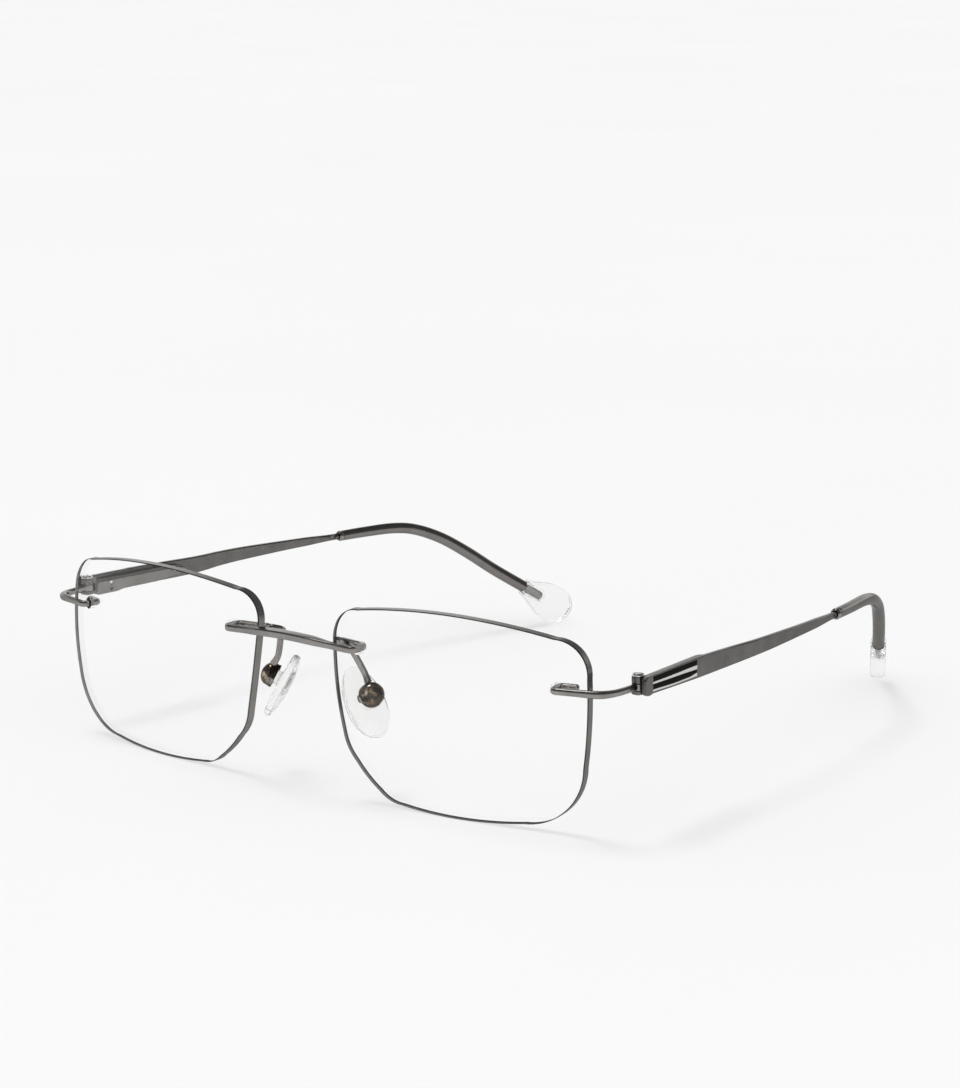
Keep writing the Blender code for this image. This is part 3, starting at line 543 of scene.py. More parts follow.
def crosshatch(nodes):
    """Dark metal knurled in two diagonal directions."""
    lines = []
    for angle in (0.85, -0.85):
        where = nodes.coordinates(turn=(angle, 0.0, 0.0))
        wave = nodes.add("TexWave", wave_type="BANDS", bands_direction="Y", wave_profile="SIN",
                         Vector=where, Scale=1.3, Distortion=0.9, Detail=2.0, Detail_Scale=3.0)
        lines.append(wave.outputs["Fac"])
    weave = nodes.maths("MULTIPLY", *lines)
    fine = nodes.noise(9.0, 4.0)
    tone = nodes.colours(weave, (0.0, (0.07, 0.066, 0.062)), (0.6, (0.2, 0.19, 0.178)))
    return principled(nodes, Base_Color=tone, Metallic=0.85,
                      Roughness=nodes.spread(fine, 0.3, 0.5),
                      Normal=nodes.bump(weave, 0.1, 0.03))


def lacquer(nodes):
    """Glossy black enamel with a slight orange peel."""
    fine = nodes.noise(1.4, 2.0)
    dust = nodes.noise(14.0, 2.0)
    tone = nodes.colours(dust, (0.4, (0.004, 0.004, 0.004)), (0.8, (0.01, 0.0095, 0.009)))
    return principled(nodes, Base_Color=tone, Roughness=nodes.spread(fine, 0.12, 0.22),
                      IOR=1.2, Specular_IOR_Level=0.05, Normal=nodes.bump(fine, 0.12, 0.02))


def lets_light_through(nodes, shader, tint, lamps=1.0):
    """Bounced light, and lamps when asked, shine straight through, a little weakened."""
    clear = nodes.add("BsdfTransparent", Color=(*tint, 1.0)).outputs["BSDF"]
    path = nodes.add("LightPath").outputs
    either = nodes.maths("MULTIPLY_ADD", path["Is Shadow Ray"], lamps, path["Is Diffuse Ray"])
    return nodes.mixed_shader(either, shader, clear)


def lens_glass(nodes):
    """Coated spectacle lens: clear, with the faintest wander in its tint and polish."""
    cloud = nodes.noise(0.04, 2.0)
    tone = nodes.colours(cloud, (0.35, (0.997, 0.998, 0.999)), (0.65, (1.0, 1.0, 1.0)))
    polish = nodes.spread(cloud, 0.0, 0.004)
    shader = principled(nodes, Base_Color=tone, Roughness=polish, IOR=1.22,
                        Transmission_Weight=1.0)
    return lets_light_through(nodes, shader, (0.996, 0.997, 0.998))


def painted_dark_rim(dark, light, rough):
    """The ground and polished rim: its clear glass is coloured dark, a painted shade for how dark
    it looks edge-on. Only bounced light passes it.
    """
    def build(nodes):
        fine = nodes.noise(5.0, 4.0)
        cloud = nodes.noise(0.12, 2.0)
        # painted shade: a dark tone on the clear glass rim
        tone = nodes.colours(nodes.spread(cloud, 0.0, 1.0), (0.0, dark), (1.0, light))
        shader = principled(nodes, Base_Color=tone, Metallic=0.85, Specular_Tint=EDGE_TINT,
                            Roughness=nodes.spread(fine, *rough),
                            Normal=nodes.bump(fine, 0.1, 0.01))
        return lets_light_through(nodes, shader, (0.9, 0.9, 0.9), 0.0)
    return build


PAINTED_RIM_SHADE = (0.42, 0.42, 0.415, 1.0)     # painted shade: clear parts' colour darkens where they turn edge-on


def clear_plastic(tint, rough, ior, clear, shade, haze=1.0):
    """A moulded clear part: slightly uneven surface, a hint of body colour, painted shade where it
    turns edge-on, more or less haze.
    """
    def build(nodes):
        cloud = nodes.noise(0.3, 3.0)
        fine = nodes.noise(2.2, 2.0)
        tone = nodes.colours(cloud, (0.3, tint[0]), (0.7, tint[1]))
        # painted shade: the colour darkens towards the outline as the surface turns edge-on
        facing = nodes.add("LayerWeight").outputs["Facing"]
        tone = nodes.mixed_colour(nodes.spread(facing, 0.0, 1.0, 0.55, 0.95), tone, PAINTED_RIM_SHADE)
        shader = principled(nodes, Base_Color=tone, Roughness=nodes.spread(fine, *rough), IOR=ior,
                            Transmission_Weight=clear, Normal=nodes.bump(cloud, 0.08, 0.12))
        if haze < 1.0:
            shader = nodes.mixed_shader(haze, nodes.add("BsdfTransparent").outputs["BSDF"], shader)
        return lets_light_through(nodes, shader, shade)
    return build


MATERIALS = {
    "gunmetal": metal((0.245, 0.233, 0.221), (0.315, 0.302, 0.289), (0.2, 0.28)),
    "temple": metal((0.14, 0.134, 0.128), (0.175, 0.168, 0.16), (0.24, 0.34), (1.0, 0.12, 1.0)),
    "casing": metal((0.21, 0.2, 0.19), (0.26, 0.25, 0.238), (0.3, 0.4), (1.0, 0.2, 1.0)),
    "steel": metal((0.22, 0.212, 0.204), (0.34, 0.33, 0.318), (0.14, 0.26)),
    "bright": metal((0.62, 0.61, 0.595), (0.72, 0.71, 0.695), (0.16, 0.26), (1.0, 0.1, 1.0)),
    "bronze": mottled,
    "crosshatch": crosshatch,
    "enamel": lacquer,
    "sleeve": metal((0.19, 0.18, 0.17), (0.225, 0.214, 0.202), (0.2, 0.28), bump=0.12),
    "lens": lens_glass,
    # painted shade: the rim's dark grey and the chamfer's near black stand in for the darkness
    # clear glass shows edge-on
    "edge": painted_dark_rim((0.17, 0.163, 0.155), (0.22, 0.212, 0.202), (0.2, 0.3)),
    "chamfer": painted_dark_rim((0.05, 0.047, 0.044), (0.09, 0.086, 0.081), (0.25, 0.4)),
    "bushing": clear_plastic(((0.9, 0.9, 0.9), (0.96, 0.96, 0.96)), (0.1, 0.2), 1.02, 1.0,
                             (0.9, 0.9, 0.9), haze=0.25),
    "silicone": clear_plastic(((0.93, 0.93, 0.925), (0.98, 0.98, 0.975)), (0.1, 0.18), 1.34, 0.96,
                              (0.97, 0.97, 0.97)),
    "tip": clear_plastic(((0.93, 0.935, 0.935), (0.97, 0.97, 0.97)), (0.1, 0.16), 1.25, 0.93,
                         (0.94, 0.94, 0.94)),
}


# ---- lenses

def lens_matrix():
    """From the lens's own frame (u, v, depth back) to the left-hand frame."""
    axes = Matrix(((1, 0, 0, 0), (0, 0, 1, 0), (0, 1, 0, 0), (0, 0, 0, 1)))
    turn = Matrix.Rotation(LENS_TILT, 4, "X").inverted() @ Matrix.Rotation(LENS_WRAP, 4, "Z")
    return Matrix.Translation((LENS_CENTRE_X, 0.0, LENS_CENTRE_Z)) @ turn @ axes


def surface_depth(u, v):
    return (u * u + v * v) / (2 * BASE_CURVE)


def hole_centre(point, direction, behind):
    """Where a drilled hole's axis meets the front face, or the face that far behind it."""
    inverse = lens_matrix().inverted()
    start, along = inverse @ Vector(point), inverse.to_3x3() @ Vector(direction)
    t = 0.0
    for _ in range(8):
        here = start + along * t
        t += (surface_depth(here.x, here.y) + behind - here.z) / along.z
    return (start + along * t).to_2d()


def face_plan(outline, centres):
    """Triangles over a lens face: its outline, two drilled holes and a grid between."""
    loops = [outline]
    for centre in centres:
        for radius in (HOLE_R, HOLE_R + HOLE_BORDER):
            loops.append([centre + Vector(p) for p in round_section(radius, HOLE_POINTS)])
    points, edges, starts = [], [], []
    for loop in loops:
        starts.append(len(points))
        count = len(loop)
        edges += [(len(points) + i, len(points) + (i + 1) % count) for i in range(count)]
        points += loop
    inner = inset(outline, GRID_STEP * 0.5)
    steps = int(BASE_CURVE / GRID_STEP)
    for i in range(-steps, steps + 1):
        for j in range(-steps, steps + 1):
            spot = Vector(((i + 0.5 * (j % 2)) * GRID_STEP, j * GRID_STEP * 0.866))
            if inside(spot, inner) and all((spot - c).length > HOLE_R + 1.3 for c in centres):
                points.append(spot)
    where, _, faces, origin, *_ = geometry.delaunay_2d_cdt(points, edges, [], 1, 1e-5)
    index = {old: new for new, olds in enumerate(origin) for old in olds}
    kept = []
    for face in faces:
        middle = sum((where[i] for i in face), Vector((0.0, 0.0))) / len(face)
        if all((middle - c).length > HOLE_R * 0.99 for c in centres):
            kept.append(face)
    rims = [[index[starts[k] + i] for i in range(len(loops[k]))] for k in (0, 1, 3)]
    return where, kept, rims


def inside(point, outline):
    hit = False
    for a, b in zip(outline, outline[1:] + outline[:1]):
        if (a.y > point.y) != (b.y > point.y):
            if point.x < a.x + (b.x - a.x) * (point.y - a.y) / (b.y - a.y):
                hit = not hit
    return hit


def lens(side):
    outline = rounded_polygon(LENS_CORNERS, EDGE_BOW, 22, 30)
    drawn = inset(outline, EDGE_CHAMFER)
    ways = (((BRIDGE_LINK_X, 0.0, BRIDGE_Z), (0.0, 1.0, 0.0)),
            ((END_LINK_X, END_LINK_Y, END_Z), END_AXIS))
    bm = bmesh.new()
    place = lens_matrix()

    def vertex(u, v, behind):
        return bm.verts.new(place @ Vector((u, v, surface_depth(u, v) + behind)))

    rims = []
    for behind in (0.0, LENS_THICK):
        centres = [hole_centre(*way, behind) for way in ways]
        where, faces, loops = face_plan(drawn, centres)
        used = sorted({i for face in faces for i in face})
        verts = {i: vertex(*where[i], behind) for i in used}
        for face in faces:
            bm.faces.new([verts[i] for i in face])
        rims.append([[verts[i] for i in loop] for loop in loops])
    rim_front = [vertex(p.x, p.y, EDGE_CHAMFER) for p in outline]
    rim_back = [vertex(p.x, p.y, LENS_THICK - EDGE_CHAMFER) for p in outline]
    bands = [(rims[0][0], rim_front, 2), (rim_front, rim_back, 1), (rim_back, rims[1][0], 2)]
    bands += [(front, back, 3) for front, back in zip(rims[0][1:], rims[1][1:])]
    for front, back, kind in bands:
        bridge_rings(bm, [front, back], closed_ends=False, material=kind)
    side.piece("lens_blank", bm, "front", "lens edge chamfer bushing", "lens", "lens", 30.0)


def bushing(side, wire, middle, direction):
    """A clear sleeve through the lens, flanged on both faces."""
    half = LENS_THICK / 2 + 0.12
    top = half + FLANGE_THICK
    inner, outer, flange = BUSHING_BORE, HOLE_R - 0.02, HOLE_R + FLANGE_PROUD
    profile = [(inner, top), (flange, top), (flange, half), (outer, half), (outer, -half),
               (flange, -half), (flange, -top), (inner, -top)]
    bm = turned(profile, frame_matrix(middle, (0, 0, 1), direction), edge=0.07)
    side.piece(wire + "_grommet", bm, "front", "bushing", "clear_bushing", wire + "_bushing")


# ---- front wires

def bridge_section(share):
    """The bridge's section, from the plain wire to the taller bevelled middle as share grows."""
    d, h = BRIDGE_DEPTH / 2 + BRIDGE_SWELL * share, BRIDGE_HEIGHT / 2
    return softened([(-d, -h), (d, -h), (d, h), (-d, h + BRIDGE_TILT * share)],
                    WIRE_ROUND - 0.16 * share, 5)


def bridge(middle):
    """One wire from behind the left lens, through it, over the nose and through the right."""
    rise = [(0.0, BRIDGE_MIDDLE_Y, BRIDGE_Z + BRIDGE_RISE),
            (4.5, BRIDGE_MIDDLE_Y + 0.1, BRIDGE_Z + BRIDGE_RISE * 0.85),
            (9.0, BRIDGE_FRONT_Y - 0.25, BRIDGE_Z + BRIDGE_RISE * 0.4),
            (BRIDGE_LINK_X - 2.6, BRIDGE_FRONT_Y, BRIDGE_Z + 0.05)]
    mirror = [(-x, y, z) for x, y, z in rise[:0:-1]]
    half = [tuple(p) for p in smooth_route(mirror + rise, 10) if p.x >= -1e-6]
    for y, start in ((BRIDGE_FRONT_Y + MOUNT_TURN, -QUARTER), (BRIDGE_BACK_Y - MOUNT_TURN, 0.0)):
        bend = arc((BRIDGE_LINK_X - MOUNT_TURN, y), MOUNT_TURN, start, start + QUARTER, 14)
        half += [(*p, BRIDGE_Z) for p in bend]
    half.append(tuple(BACK_LEG_END))
    route = [(-x, y, z) for x, y, z in half[:0:-1]] + half
    sections = [bridge_section(1 - smooth_step(abs(x) / BRIDGE_TAPER - 1) if y < 0 else 0.0)
                for x, y, _ in route]
    wire = swept(route, sections, end_round=(0.35, 0.35))
    middle.piece("bridge_wire", wire, "front", "gunmetal", "gunmetal", "bridge")


def endpiece(side):
    """The wire from behind the lens, through it and back to the hinge, ending in an eye."""
    near, far = END_TURN, END_SPREAD
    local = [(END_LEG, far)]
    local += arc((near, far - near), near, QUARTER, 2 * QUARTER, 12)
    local += arc((near, near - far), near, 2 * QUARTER, 3 * QUARTER, 12)
    local += [(4.5, -far), (7.4, -far)]
    c, s = math.cos(END_ANGLE), math.sin(END_ANGLE)
    route = [(END_LINK_X + a * c - t * s, END_LINK_Y + a * s + t * c) for a, t in local]
    bend = [route[-1], *END_BEND, (HINGE_X, HINGE_Y - 1.0)]
    route += [tuple(p) for p in smooth_route(bend, 8)[1:]]
    bends = [1 + 0.16 * math.exp(-((x - 64.0) ** 2 + (y - 6.0) ** 2) / 6.0) for x, y in route]
    wire = swept([(x, y, END_Z) for x, y in route],
                 rounded_box(END_DEPTH, END_HEIGHT, WIRE_ROUND, 5),
                 end_round=(0.45, 0.0), sizes=bends)
    eye = barrel(EYE_LOW, EYE_HIGH, PIVOT)
    side.piece("endpiece_wire", combined("UNION", wire, eye), "front", "gunmetal", "gunmetal",
               "endpiece")


def barrel(low, high, place=Matrix.Identity(4)):
    """A hinge barrel, bored for the pivot screw."""
    ring = [(SCREW_HOLE_R, high), (BARREL_R, high), (BARREL_R, low), (SCREW_HOLE_R, low)]
    return turned(ring, place, 56, 0.1)


def hinge_pivot(side):
    """The pivot screw, with a domed slotted head."""
    top = KNUCKLE_HIGH + KNUCKLE_GAP
    profile = [(0.0, top + SCREW_HEAD), (SCREW_HEAD_R * 0.6, top + SCREW_HEAD - 0.02),
               (SCREW_HEAD_R - 0.1, top + SCREW_HEAD - 0.12), (SCREW_HEAD_R, top + 0.25),
               (SCREW_HEAD_R, top), (SCREW_R, top), (SCREW_R, KNUCKLE_LOW - 0.1),
               (0.4, KNUCKLE_LOW - 0.25), (0.0, KNUCKLE_LOW - 0.25)]
    slot = block((-2, -0.15, top + 0.28), (2, 0.15, top + 1.0),
                 PIVOT @ Matrix.Rotation(0.5, 4, "Z"))
    screw = combined("DIFFERENCE", turned(profile, PIVOT, 56, 0.07), slot)
    side.piece("hinge_pivot", screw, "front", "bright", "steel", "hinge_screw")


# ---- nose pads

def pad_frame():
    """The pad's own axes: x across, y up its length, z towards the nose."""
    normal = (PAD_NORMAL_HINT - PAD_UP * PAD_NORMAL_HINT.dot(PAD_UP)).normalized()
    return frame_matrix(PAD_CENTRE, PAD_UP.cross(normal), normal)


def nose_pad(side):
    """A soft oval moulding: crowned towards the nose, slightly hollow behind, thin at the rim."""
    place = pad_frame()
    around, rows = 72, []

    def add(share, height):
        row = []
        for i in range(around):
            x, y = math.cos(2 * math.pi * i / around), math.sin(2 * math.pi * i / around)
            spot = Vector((x * PAD_WIDTH / 2 * (1 - 0.1 * y), y * PAD_LENGTH / 2)) * share
            row.append(place @ Vector((*spot, height)))
        rows.append(row if share else row[:1])

    def crown(s):
        return 0.75 + (PAD_THICK * 0.76 - 0.75) * (1 - s ** 2.4)

    def hollow(s):
        return -0.5 - 0.2 * (1 - s ** 2)

    top, low = crown(PAD_FACE), hollow(PAD_FACE)
    for k in range(13):
        add(k / 12 * PAD_FACE, crown(k / 12 * PAD_FACE))
    for k in range(1, 12):
        angle = math.pi * k / 12
        add(PAD_FACE + (1 - PAD_FACE) * math.sin(angle),
            (top + low) / 2 + (top - low) / 2 * math.cos(angle))
    for k in range(12, -1, -1):
        add(k / 12 * PAD_FACE, hollow(k / 12 * PAD_FACE))
    side.piece("pad_moulding", skin(rows, closed_ends=False), "pad", "silicone",
               "clear_silicone", "nose_pad")


def cross_axis():
    """The pad screw's place: across the cup, just behind its mouth."""
    return pad_frame() @ outward(CUP_ASIDE, CUP_RISE, PAD_SCREW_OUT - CUP_FORWARD)


def pad_stem(side):
    """The moulded tab behind the pad, which sits in the cup, with a foot spread on the pad."""
    place = pad_frame()
    rows = [[place @ Vector((x + CUP_ASIDE, y + CUP_RISE, height))
             for x, y in rounded_box(width, length, edge, 5)]
            for height, width, length, edge in STEM_STAGES]
    hole = cylinder(PAD_SCREW_HOLE_R, -2.0, 2.0, cross_axis(), 24)
    side.piece("pad_stem", combined("DIFFERENCE", skin(rows), hole), "pad", "silicone",
               "clear_silicone", "pad_tab")


def pad_cup(side):
    """The turned cup behind the pad, rounded at the back and lipped at the mouth."""
    front = -CUP_FORWARD - CUP_DEPTH / 2
    back = front + CUP_DEPTH
    inner, lip = CUP_R - CUP_WALL, CUP_R + 0.07
    dome = [(CUP_R * math.sin(a), front + 1.45 - 1.75 * math.cos(a))
            for a in (QUARTER * k / 9 for k in range(10))]
    profile = [*dome, (CUP_R, back - 0.45), (lip, back - 0.35), (lip, back), (inner, back),
               (inner, front + 0.95), (0.0, front + 0.7)]
    bowl = turned(profile, pad_frame() @ Matrix.Translation((CUP_ASIDE, CUP_RISE, 0.0)), 64,
                  0.22, 5)
    hole = cylinder(PAD_SCREW_HOLE_R, -4.0, 4.0, cross_axis(), 24)
    side.piece("cup_bowl", combined("DIFFERENCE", bowl, hole), "front", "bronze", "bronze",
               "pad_cup")


def cross_screw(side):
    """The screw that holds the pad's tab in the cup, with a slotted head."""
    head = CUP_R + 0.09
    profile = [(0.0, -CUP_R + 0.1), (PAD_SCREW_R, -CUP_R + 0.1), (PAD_SCREW_R, head),
               (0.75, head), (0.75, CUP_R + 0.3), (0.5, CUP_R + 0.42), (0.0, CUP_R + 0.44)]
    slot = block((-1, -0.1, CUP_R + 0.28), (1, 0.1, CUP_R + 1), cross_axis())
    screw = combined("DIFFERENCE", turned(profile, cross_axis(), 32, 0.06), slot)
    side.piece("cross_screw", screw, "front", "steel", "steel", "pad_screw")


def arm_wire(side):
    """The bent wire from the bridge's rear leg to the cup, spread where it is soldered on."""
    place = pad_frame()
    cup_top = place @ Vector((CUP_ASIDE, CUP_RISE + CUP_R + 0.02, -CUP_FORWARD - 0.2))
    leg = BACK_LEG_END - Vector((BRIDGE_LINK_X - MOUNT_TURN, BRIDGE_BACK_Y, BRIDGE_Z))
    leg.normalize()
    points = [BACK_LEG_END - leg * 0.15, BACK_LEG_END + leg * 0.9, (7.3, 5.3, 28.1),
              (7.9, 6.5, 27.4), (8.8, 6.95, 26.2), cup_top + PAD_UP * 2.2, cup_top]
    route = smooth_route(points, 9)
    swell = [1.0 + 0.25 * (k / 8) ** 2 for k in range(1, 9)]
    sizes = [1.0] * (len(route) - len(swell)) + swell
    wire = swept(route, round_section(ARM_R, 24), up=None, sizes=sizes)
    side.piece("arm_wire", wire, "front", "gunmetal", "gunmetal", "pad_arm")


# ---- hinge

def knuckles(side):
    """The sliding part of the hinge: two barrels on a web, a shank and its pull rod."""
    parts = [block((SPRING_X - SHANK_HALF_X, SHANK_START, -SHANK_HALF_Z),
                   (SPRING_X + SHANK_HALF_X, SHANK_END, SHANK_HALF_Z))]
    for low, high in ((KNUCKLE_LOW, EYE_LOW - KNUCKLE_GAP), (EYE_HIGH + KNUCKLE_GAP, KNUCKLE_HIGH)):
        parts += [barrel(low, high), block((-0.8, 0.75, low + 0.08), (0.8, 1.62, high - 0.08))]
    parts.append(block((-0.8, 1.36, KNUCKLE_LOW + 0.1), (0.7, 1.62, KNUCKLE_HIGH - 0.1)))
    parts.append(cylinder(SLIDER_ROD_R, SHANK_END - 0.3, SLIDER_ROD_END,
                          frame_matrix((SPRING_X, 0, 0), (0, 0, 1), (0, 1, 0)), 20))
    side.piece("knuckles", combined("UNION", *parts), "slider", "temple", "steel", "hinge_slider")


def spring_coil(side):
    """The compression coil, from its front end by the temple to its rear end at the slider's stop.
    """
    per_turn = 20
    count = SPRING_TURNS * per_turn
    along = Vector((0, 1, 0))
    rows = []
    for i in range(count + 1):
        angle = 2 * math.pi * i / per_turn
        out = Vector((math.cos(angle), 0, math.sin(angle)))
        centre = (Vector((SPRING_X, 0, 0)) + out * SPRING_R
                  + along * (SPRING_START + (SPRING_END - SPRING_START) * i / count))
        rows.append([centre + out * x + along * y for x, y in round_section(SPRING_WIRE_R, 8)])
    coil = side.piece("spring_coil", skin(rows), None, "steel", "steel", "hinge_spring")
    for y in (SPRING_START, SPRING_END):
        x, y, z = HINGE @ Vector((SPRING_X, y, 0)) * MM
    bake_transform(coil)


def casing_shell(side):
    """The spring's casing on the temple's inner face, with its drive notch and peened pin."""
    outline = [(CASE_START, CASE_HIGH), (CASE_END - 3.0, CASE_REAR_HIGH), (CASE_END, 0.5),
               (CASE_END - 1.2, -0.6), (CASE_STEP + 10, CASE_LOW), (CASE_STEP + 1.2, CASE_LOW),
               (CASE_STEP - 0.4, CASE_FRONT_LOW), (CASE_START, CASE_FRONT_LOW)]
    shell = slab(softened(outline, 0.6, 6), CASE_OUT_X - CASE_IN_X, 0.3,
                 outward((CASE_IN_X + CASE_OUT_X) / 2, 0, 0))
    half = SHANK_HALF_Z + SLIDE_ROOM
    rows = ((CASE_START - 1, half), (SHANK_END + 0.2, half), (SHANK_END + 0.25, THROAT_HALF),
            (THROAT_END, THROAT_HALF), (THROAT_END + 0.05, CHAMBER_HALF),
            (CHAMBER_END, CHAMBER_HALF))
    plan = [(y, -z) for y, z in rows] + [(y, z) for y, z in reversed(rows)]
    cutters = [skin([[(x, y, z) for y, z in plan]
                     for x in (SPRING_X - SHANK_HALF_X - SLIDE_ROOM, CASE_OUT_X + 1)])]
    for y, z, radius, depth in CASE_DIMPLES:
        profile = [(0.0, -1.0), (radius * 1.3, -1.0), (radius, 0.0), (radius * 0.6, depth),
                   (0.0, depth)]
        cutters.append(turned(profile, outward(CASE_IN_X, y, z), 32, 0.1))
    side.piece("casing_shell", combined("DIFFERENCE", shell, *cutters), "temple", "casing",
               "gunmetal", "hinge_casing")
    for name, (y, z, radius) in CASE_STUDS.items():
        profile = [(0.0, -0.1), (radius * 0.7, -0.07), (radius, 0.05), (radius, 0.2), (0.0, 0.2)]
        stud = turned(profile, outward(CASE_IN_X, y, z), 32, 0.06)
        side.piece(name, stud, "temple", "bright", "steel")


# ---- temples

def arm_section(y, out_x, middle_z, height, share):
    """The arm's upright section, turning from a rounded plate to a round rod as share grows."""
    points = []
    for x, z in rounded_box(PLATE_THICK, height, PLATE_ROUND, 8):
        angle = math.atan2(z, x)
        rx, rz = ROD_R * 1.08 * math.cos(angle), ROD_R * 1.08 * math.sin(angle)
        points.append((x + (rx - x) * share, z + (rz - z) * share))
    return [(out_x - PLATE_THICK / 2 + x, y, middle_z + z) for x, z in points]


def stations():
    return smooth_route(PLATE_STATIONS, 14)


def station_at(y):
    """The plate's outer x, middle z and height at a distance behind the hinge."""
    rows = stations()
    for a, b in zip(rows, rows[1:]):
        if a[0] <= y <= b[0]:
            return a.lerp(b, (y - a[0]) / (b[0] - a[0]))
    return rows[0]


def rod_route(start_y):
    """The rod's centre line from a distance behind the hinge to its end inside the tip."""
    route = [p for p in smooth_route(TIP_ROUTE, 8) if p.y > start_y + 0.2]
    near, far = Vector(TIP_ROUTE[0]), Vector(TIP_ROUTE[1])
    first = near.lerp(far, (start_y - near.y) / (far.y - near.y))
    return [first, *route, route[-1] + TIP_WAY * ROD_IN_TIP]


def temple_arm(side):
    """The flat satin arm, drawn down to a round rod at the collar."""
    rows = []
    for y, *shape in stations():
        share = smooth_step((y - ROUNDING_START) / (PLATE_STATIONS[-1][0] - ROUNDING_START))
        rows.append(arm_section(y, *shape, share))
    rod = swept(rod_route(TIP_ROUTE[0][1]), round_section(ROD_R, 20), up=None,
                end_round=(0.0, 0.25))
    side.piece("temple_arm", combined("UNION", skin(rows), rod), "temple", "temple", "gunmetal",
               "temple")


def front_block(side):
    """The cross-hatched block at the arm's front end."""
    bm = slab(softened(BLOCK_OUTLINE, 0.55, 6), BLOCK_THICK, 0.22, outward(BLOCK_X, 0, 0))
    side.piece("front_block", bm, "temple", "crosshatch", "gunmetal")


def edge_share(name, t):
    """The height of a stripe's edge at a share of the inlay's length."""
    knots = STRIPE_EDGES[name]
    for (a, low), (b, high) in zip(knots, knots[1:]):
        if a <= t <= b:
            return low + (high - low) * smooth_step((t - a) / (b - a))


def inlay(side, name, low, high, proud, kind, slot, stands_for=None):
    """A long thin strip set in the arm's outer face, between two of the stripes' edges."""
    steps, rows = 60, []
    for i in range(steps + 1):
        t = i / steps
        y = INLAY_START + (INLAY_END - INLAY_START) * t
        _, out_x, middle_z, height = station_at(y)
        bottom = middle_z - height / 2
        ends = [bottom + height * edge_share(edge, t) for edge in (low, high)]
        tall = ends[1] - ends[0]
        section = rounded_box(INLAY_THICK, tall, min(0.07, tall / 3), 3)
        centre_x = out_x + proud - INLAY_THICK / 2
        rows.append([(centre_x + x, y, sum(ends) / 2 + z) for x, z in section])
    side.piece(name, skin(rows), "temple", kind, slot, stands_for)


def inlays(side):
    for level, low, high in (("upper", "upper_low", "top"), ("lower", "lower_low", "lower_high")):
        inlay(side, level + "_stripe", low, high, 0.035, "enamel", "enamel", level + "_enamel")
    inlay(side, "middle_line", "lower_high", "upper_low", 0.05, "bright", "steel")
    inlay(side, "bottom_line", "line_low", "lower_low", 0.045, "bright", "steel")


def sleeve_tube(side):
    """The tip's dark sleeve, a little fuller towards its rounded end."""
    route = rod_route(SLEEVE_START)
    route[-1] = route[-2] + TIP_WAY * (ROD_IN_TIP - 0.3)
    lengths = [0.0]
    for a, b in zip(route, route[1:]):
        lengths.append(lengths[-1] + (b - a).length)
    sizes = [1.08 + 0.2 * min(length / lengths[-1] * 1.6, 1.0) for length in lengths]
    bm = swept(route, round_section(1.0, 32), up=None, sizes=sizes, end_round=(0.15, 0.5))
    side.piece("sleeve_tube", bm, "temple", "sleeve", "sleeve", "sleeve")


def collar_ring(side):
    """The stepped ring where the sleeve starts."""
    inner = ROD_R + 0.12
    profile = [(inner, 0.0), (0.85, 0.0), (0.95, 0.3), (1.06, 0.42), (1.12, 0.55), (1.12, 0.78),
               (1.02, 0.86), (1.02, COLLAR_LENGTH), (inner, COLLAR_LENGTH)]
    start = rod_route(COLLAR_START)
    bm = turned(profile, frame_matrix(start[0], (0, 0, 1), start[1] - start[0]), 48, 0.06, 3)
    side.piece("collar_ring", bm, "temple", "steel", "steel", "collar")


def tip_paddle(side):
    """The clear flat end in the tip's upright plane, bored for the sleeve's end."""
    start = Vector(TIP_ROUTE[-1]) - TIP_WAY * 0.6
    across = Vector((TIP_WAY.y, -TIP_WAY.x, 0.0)).normalized()
    end_r = TIP_WIDTH / 2
    centre = (TEMPLE_Z + start.z - end_r) / -TIP_WAY.z
    half_neck = TIP_NECK / 2
    outline = [(0.0, half_neck), (0.0, -half_neck), (2.0, -half_neck - 0.35),
               (centre - 2.5, -end_r + 0.15)]
    outline += arc((centre, 0.0), end_r, -QUARTER, QUARTER, 40)
    outline += [(centre - 2.5, end_r - 0.15), (2.0, half_neck + 0.35)]
    paddle = slab(softened(outline, 0.9, 6), TIP_THICK, 0.75, frame_matrix(start, TIP_WAY, across),
                  steps=8)
    bore = cylinder(TIP_BORE_R, -2.0, ROD_IN_TIP + 0.7, frame_matrix(start, across, TIP_WAY), 48,
                    0.5, 5)
    side.piece("tip_paddle", combined("DIFFERENCE", paddle, bore), "temple", "tip", "clear_tip",
               "temple_tip")


# ---- assembly

def build_side(side):
    lens(side)
    bushing(side, "bridge", (BRIDGE_LINK_X, 0.9, BRIDGE_Z), (0, 1, 0))
    bushing(side, "endpiece", (END_LINK_X, END_LINK_Y, END_Z), END_AXIS)
    for make in (endpiece, hinge_pivot, arm_wire, pad_cup, cross_screw, nose_pad, pad_stem,
                 knuckles, spring_coil, casing_shell, temple_arm, front_block, inlays,
                 collar_ring, sleeve_tube, tip_paddle):
        make(side)
    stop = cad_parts[side.prefix + "spring_stop"]
    stop.data.materials.clear()
    stop.data.materials.append(side.materials["steel"])


# ---- stage

CAMERA_TARGET = Vector((0.0042, -0.0194, 0.03814))
CAMERA_AZIMUTH, CAMERA_ELEVATION = math.radians(37.41), math.radians(11.61)
CAMERA_DISTANCE, CAMERA_LENS = 0.60998, 104.16
FLOOR_R = 40.0
SKY = 0.95
SUN_STRENGTH, SUN_ANGLE = 0.47, math.radians(17.0)
# What metal mirrors: brightness against the height of the reflected direction
BACKDROP = ((0.0, 0.5), (0.1, 0.8), (0.17, 2.3), (0.32, 2.3), (0.48, 0.14), (0.9, 0.1))
ROOM = ((0.0, 0.24), (0.3, 0.13), (0.9, 0.1))
BACKDROP_WAY = (-0.607, 0.794, 0.0)     # the side of the studio with the lit backdrop
SUN_FROM = Vector((-0.36, 0.03, 1.0))


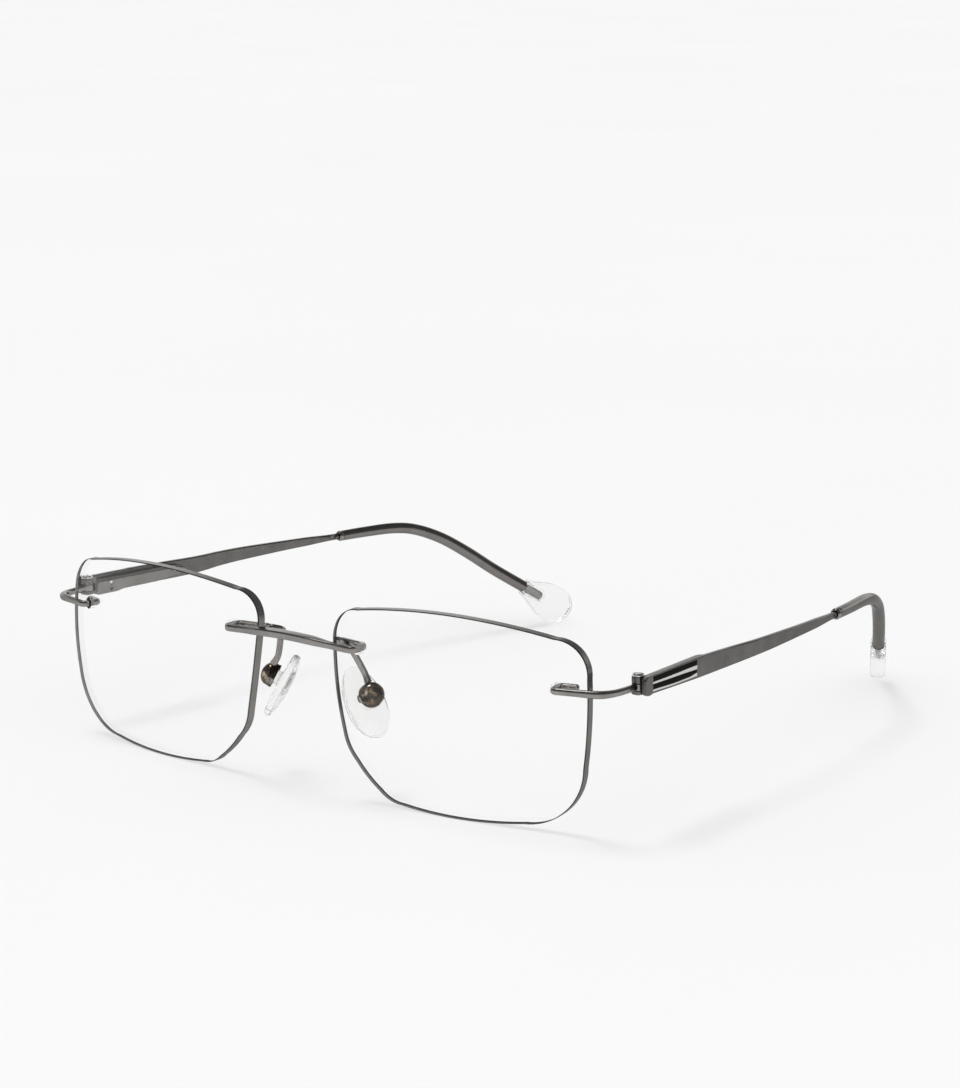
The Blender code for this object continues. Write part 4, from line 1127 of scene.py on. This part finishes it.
def floor_look(nodes):
    """A matt white sweep, with paper tooth and the faintest mottling."""
    cloud = nodes.noise(0.004, 3.0)
    tooth = nodes.noise(2.0, 3.0)
    tone = nodes.colours(cloud, (0.3, (0.872, 0.872, 0.872)), (0.7, (0.885, 0.885, 0.886)))
    return principled(nodes, Base_Color=tone, Roughness=nodes.spread(tooth, 0.85, 0.95),
                      Specular_IOR_Level=0.1, Normal=nodes.bump(tooth, 0.02, 0.01))


def stage():
    bm = bmesh.new()
    bmesh.ops.create_circle(bm, cap_ends=True, segments=96, radius=FLOOR_R)
    floor = mesh_object("floor", bm)
    floor.location.z = -0.01 * MM
    floor.data.materials.append(material("floor_white", floor_look))


def sky():
    """Even white light, and for reflections a studio: bright backdrop low down, dim ceiling."""
    world = bpy.data.worlds.new("studio")
    world.use_nodes = True
    bpy.context.scene.world = world
    nodes = Nodes(world.node_tree)
    direction = nodes.add("TexCoord").outputs["Generated"]
    height = nodes.add("SeparateXYZ", Vector=direction).outputs["Z"]
    backdrop = nodes.colours(height, *((z, (grey,) * 3) for z, grey in BACKDROP))
    room = nodes.colours(height, *((z, (grey,) * 3) for z, grey in ROOM))
    ahead = nodes.add("VectorMath", direction, BACKDROP_WAY, operation="DOT_PRODUCT")
    far = nodes.spread(ahead.outputs["Value"], 0.0, 1.0, 0.2, 0.8)
    band = nodes.mixed_colour(far, room, backdrop)
    path = nodes.add("LightPath").outputs
    mirrored = nodes.maths("SUBTRACT", path["Is Glossy Ray"], path["Is Transmission Ray"],
                           use_clamp=True)
    pick = nodes.mixed_colour(mirrored, (SKY, SKY, SKY, 1.0), band)
    background = nodes.add("Background", Color=pick)
    nodes.add("OutputWorld", background.outputs["Background"])


def sun():
    data = bpy.data.lights.new("key", "SUN")
    data.energy, data.angle = SUN_STRENGTH, SUN_ANGLE
    linked("key", data).rotation_euler = SUN_FROM.to_track_quat("Z", "Y").to_euler()


def camera():
    back = Vector((math.sin(CAMERA_AZIMUTH) * math.cos(CAMERA_ELEVATION),
                   -math.cos(CAMERA_AZIMUTH) * math.cos(CAMERA_ELEVATION),
                   math.sin(CAMERA_ELEVATION)))
    data = bpy.data.cameras.new("camera")
    data.lens = CAMERA_LENS
    data.clip_start, data.clip_end = 0.01, 200.0
    made = linked("camera", data)
    made.location = CAMERA_TARGET + back * CAMERA_DISTANCE
    made.rotation_euler = (QUARTER - CAMERA_ELEVATION, 0.0, CAMERA_AZIMUTH)
    bpy.context.scene.camera = made


def main():
    bpy.context.scene.view_settings.view_transform = "Standard"
    camera()
    sky()
    sun()
    stage()
    materials = {name: material("look_" + name, build) for name, build in MATERIALS.items()}
    bridge(Side("", materials))
    for name in ("left", "right"):
        build_side(Side(name, materials))


main()
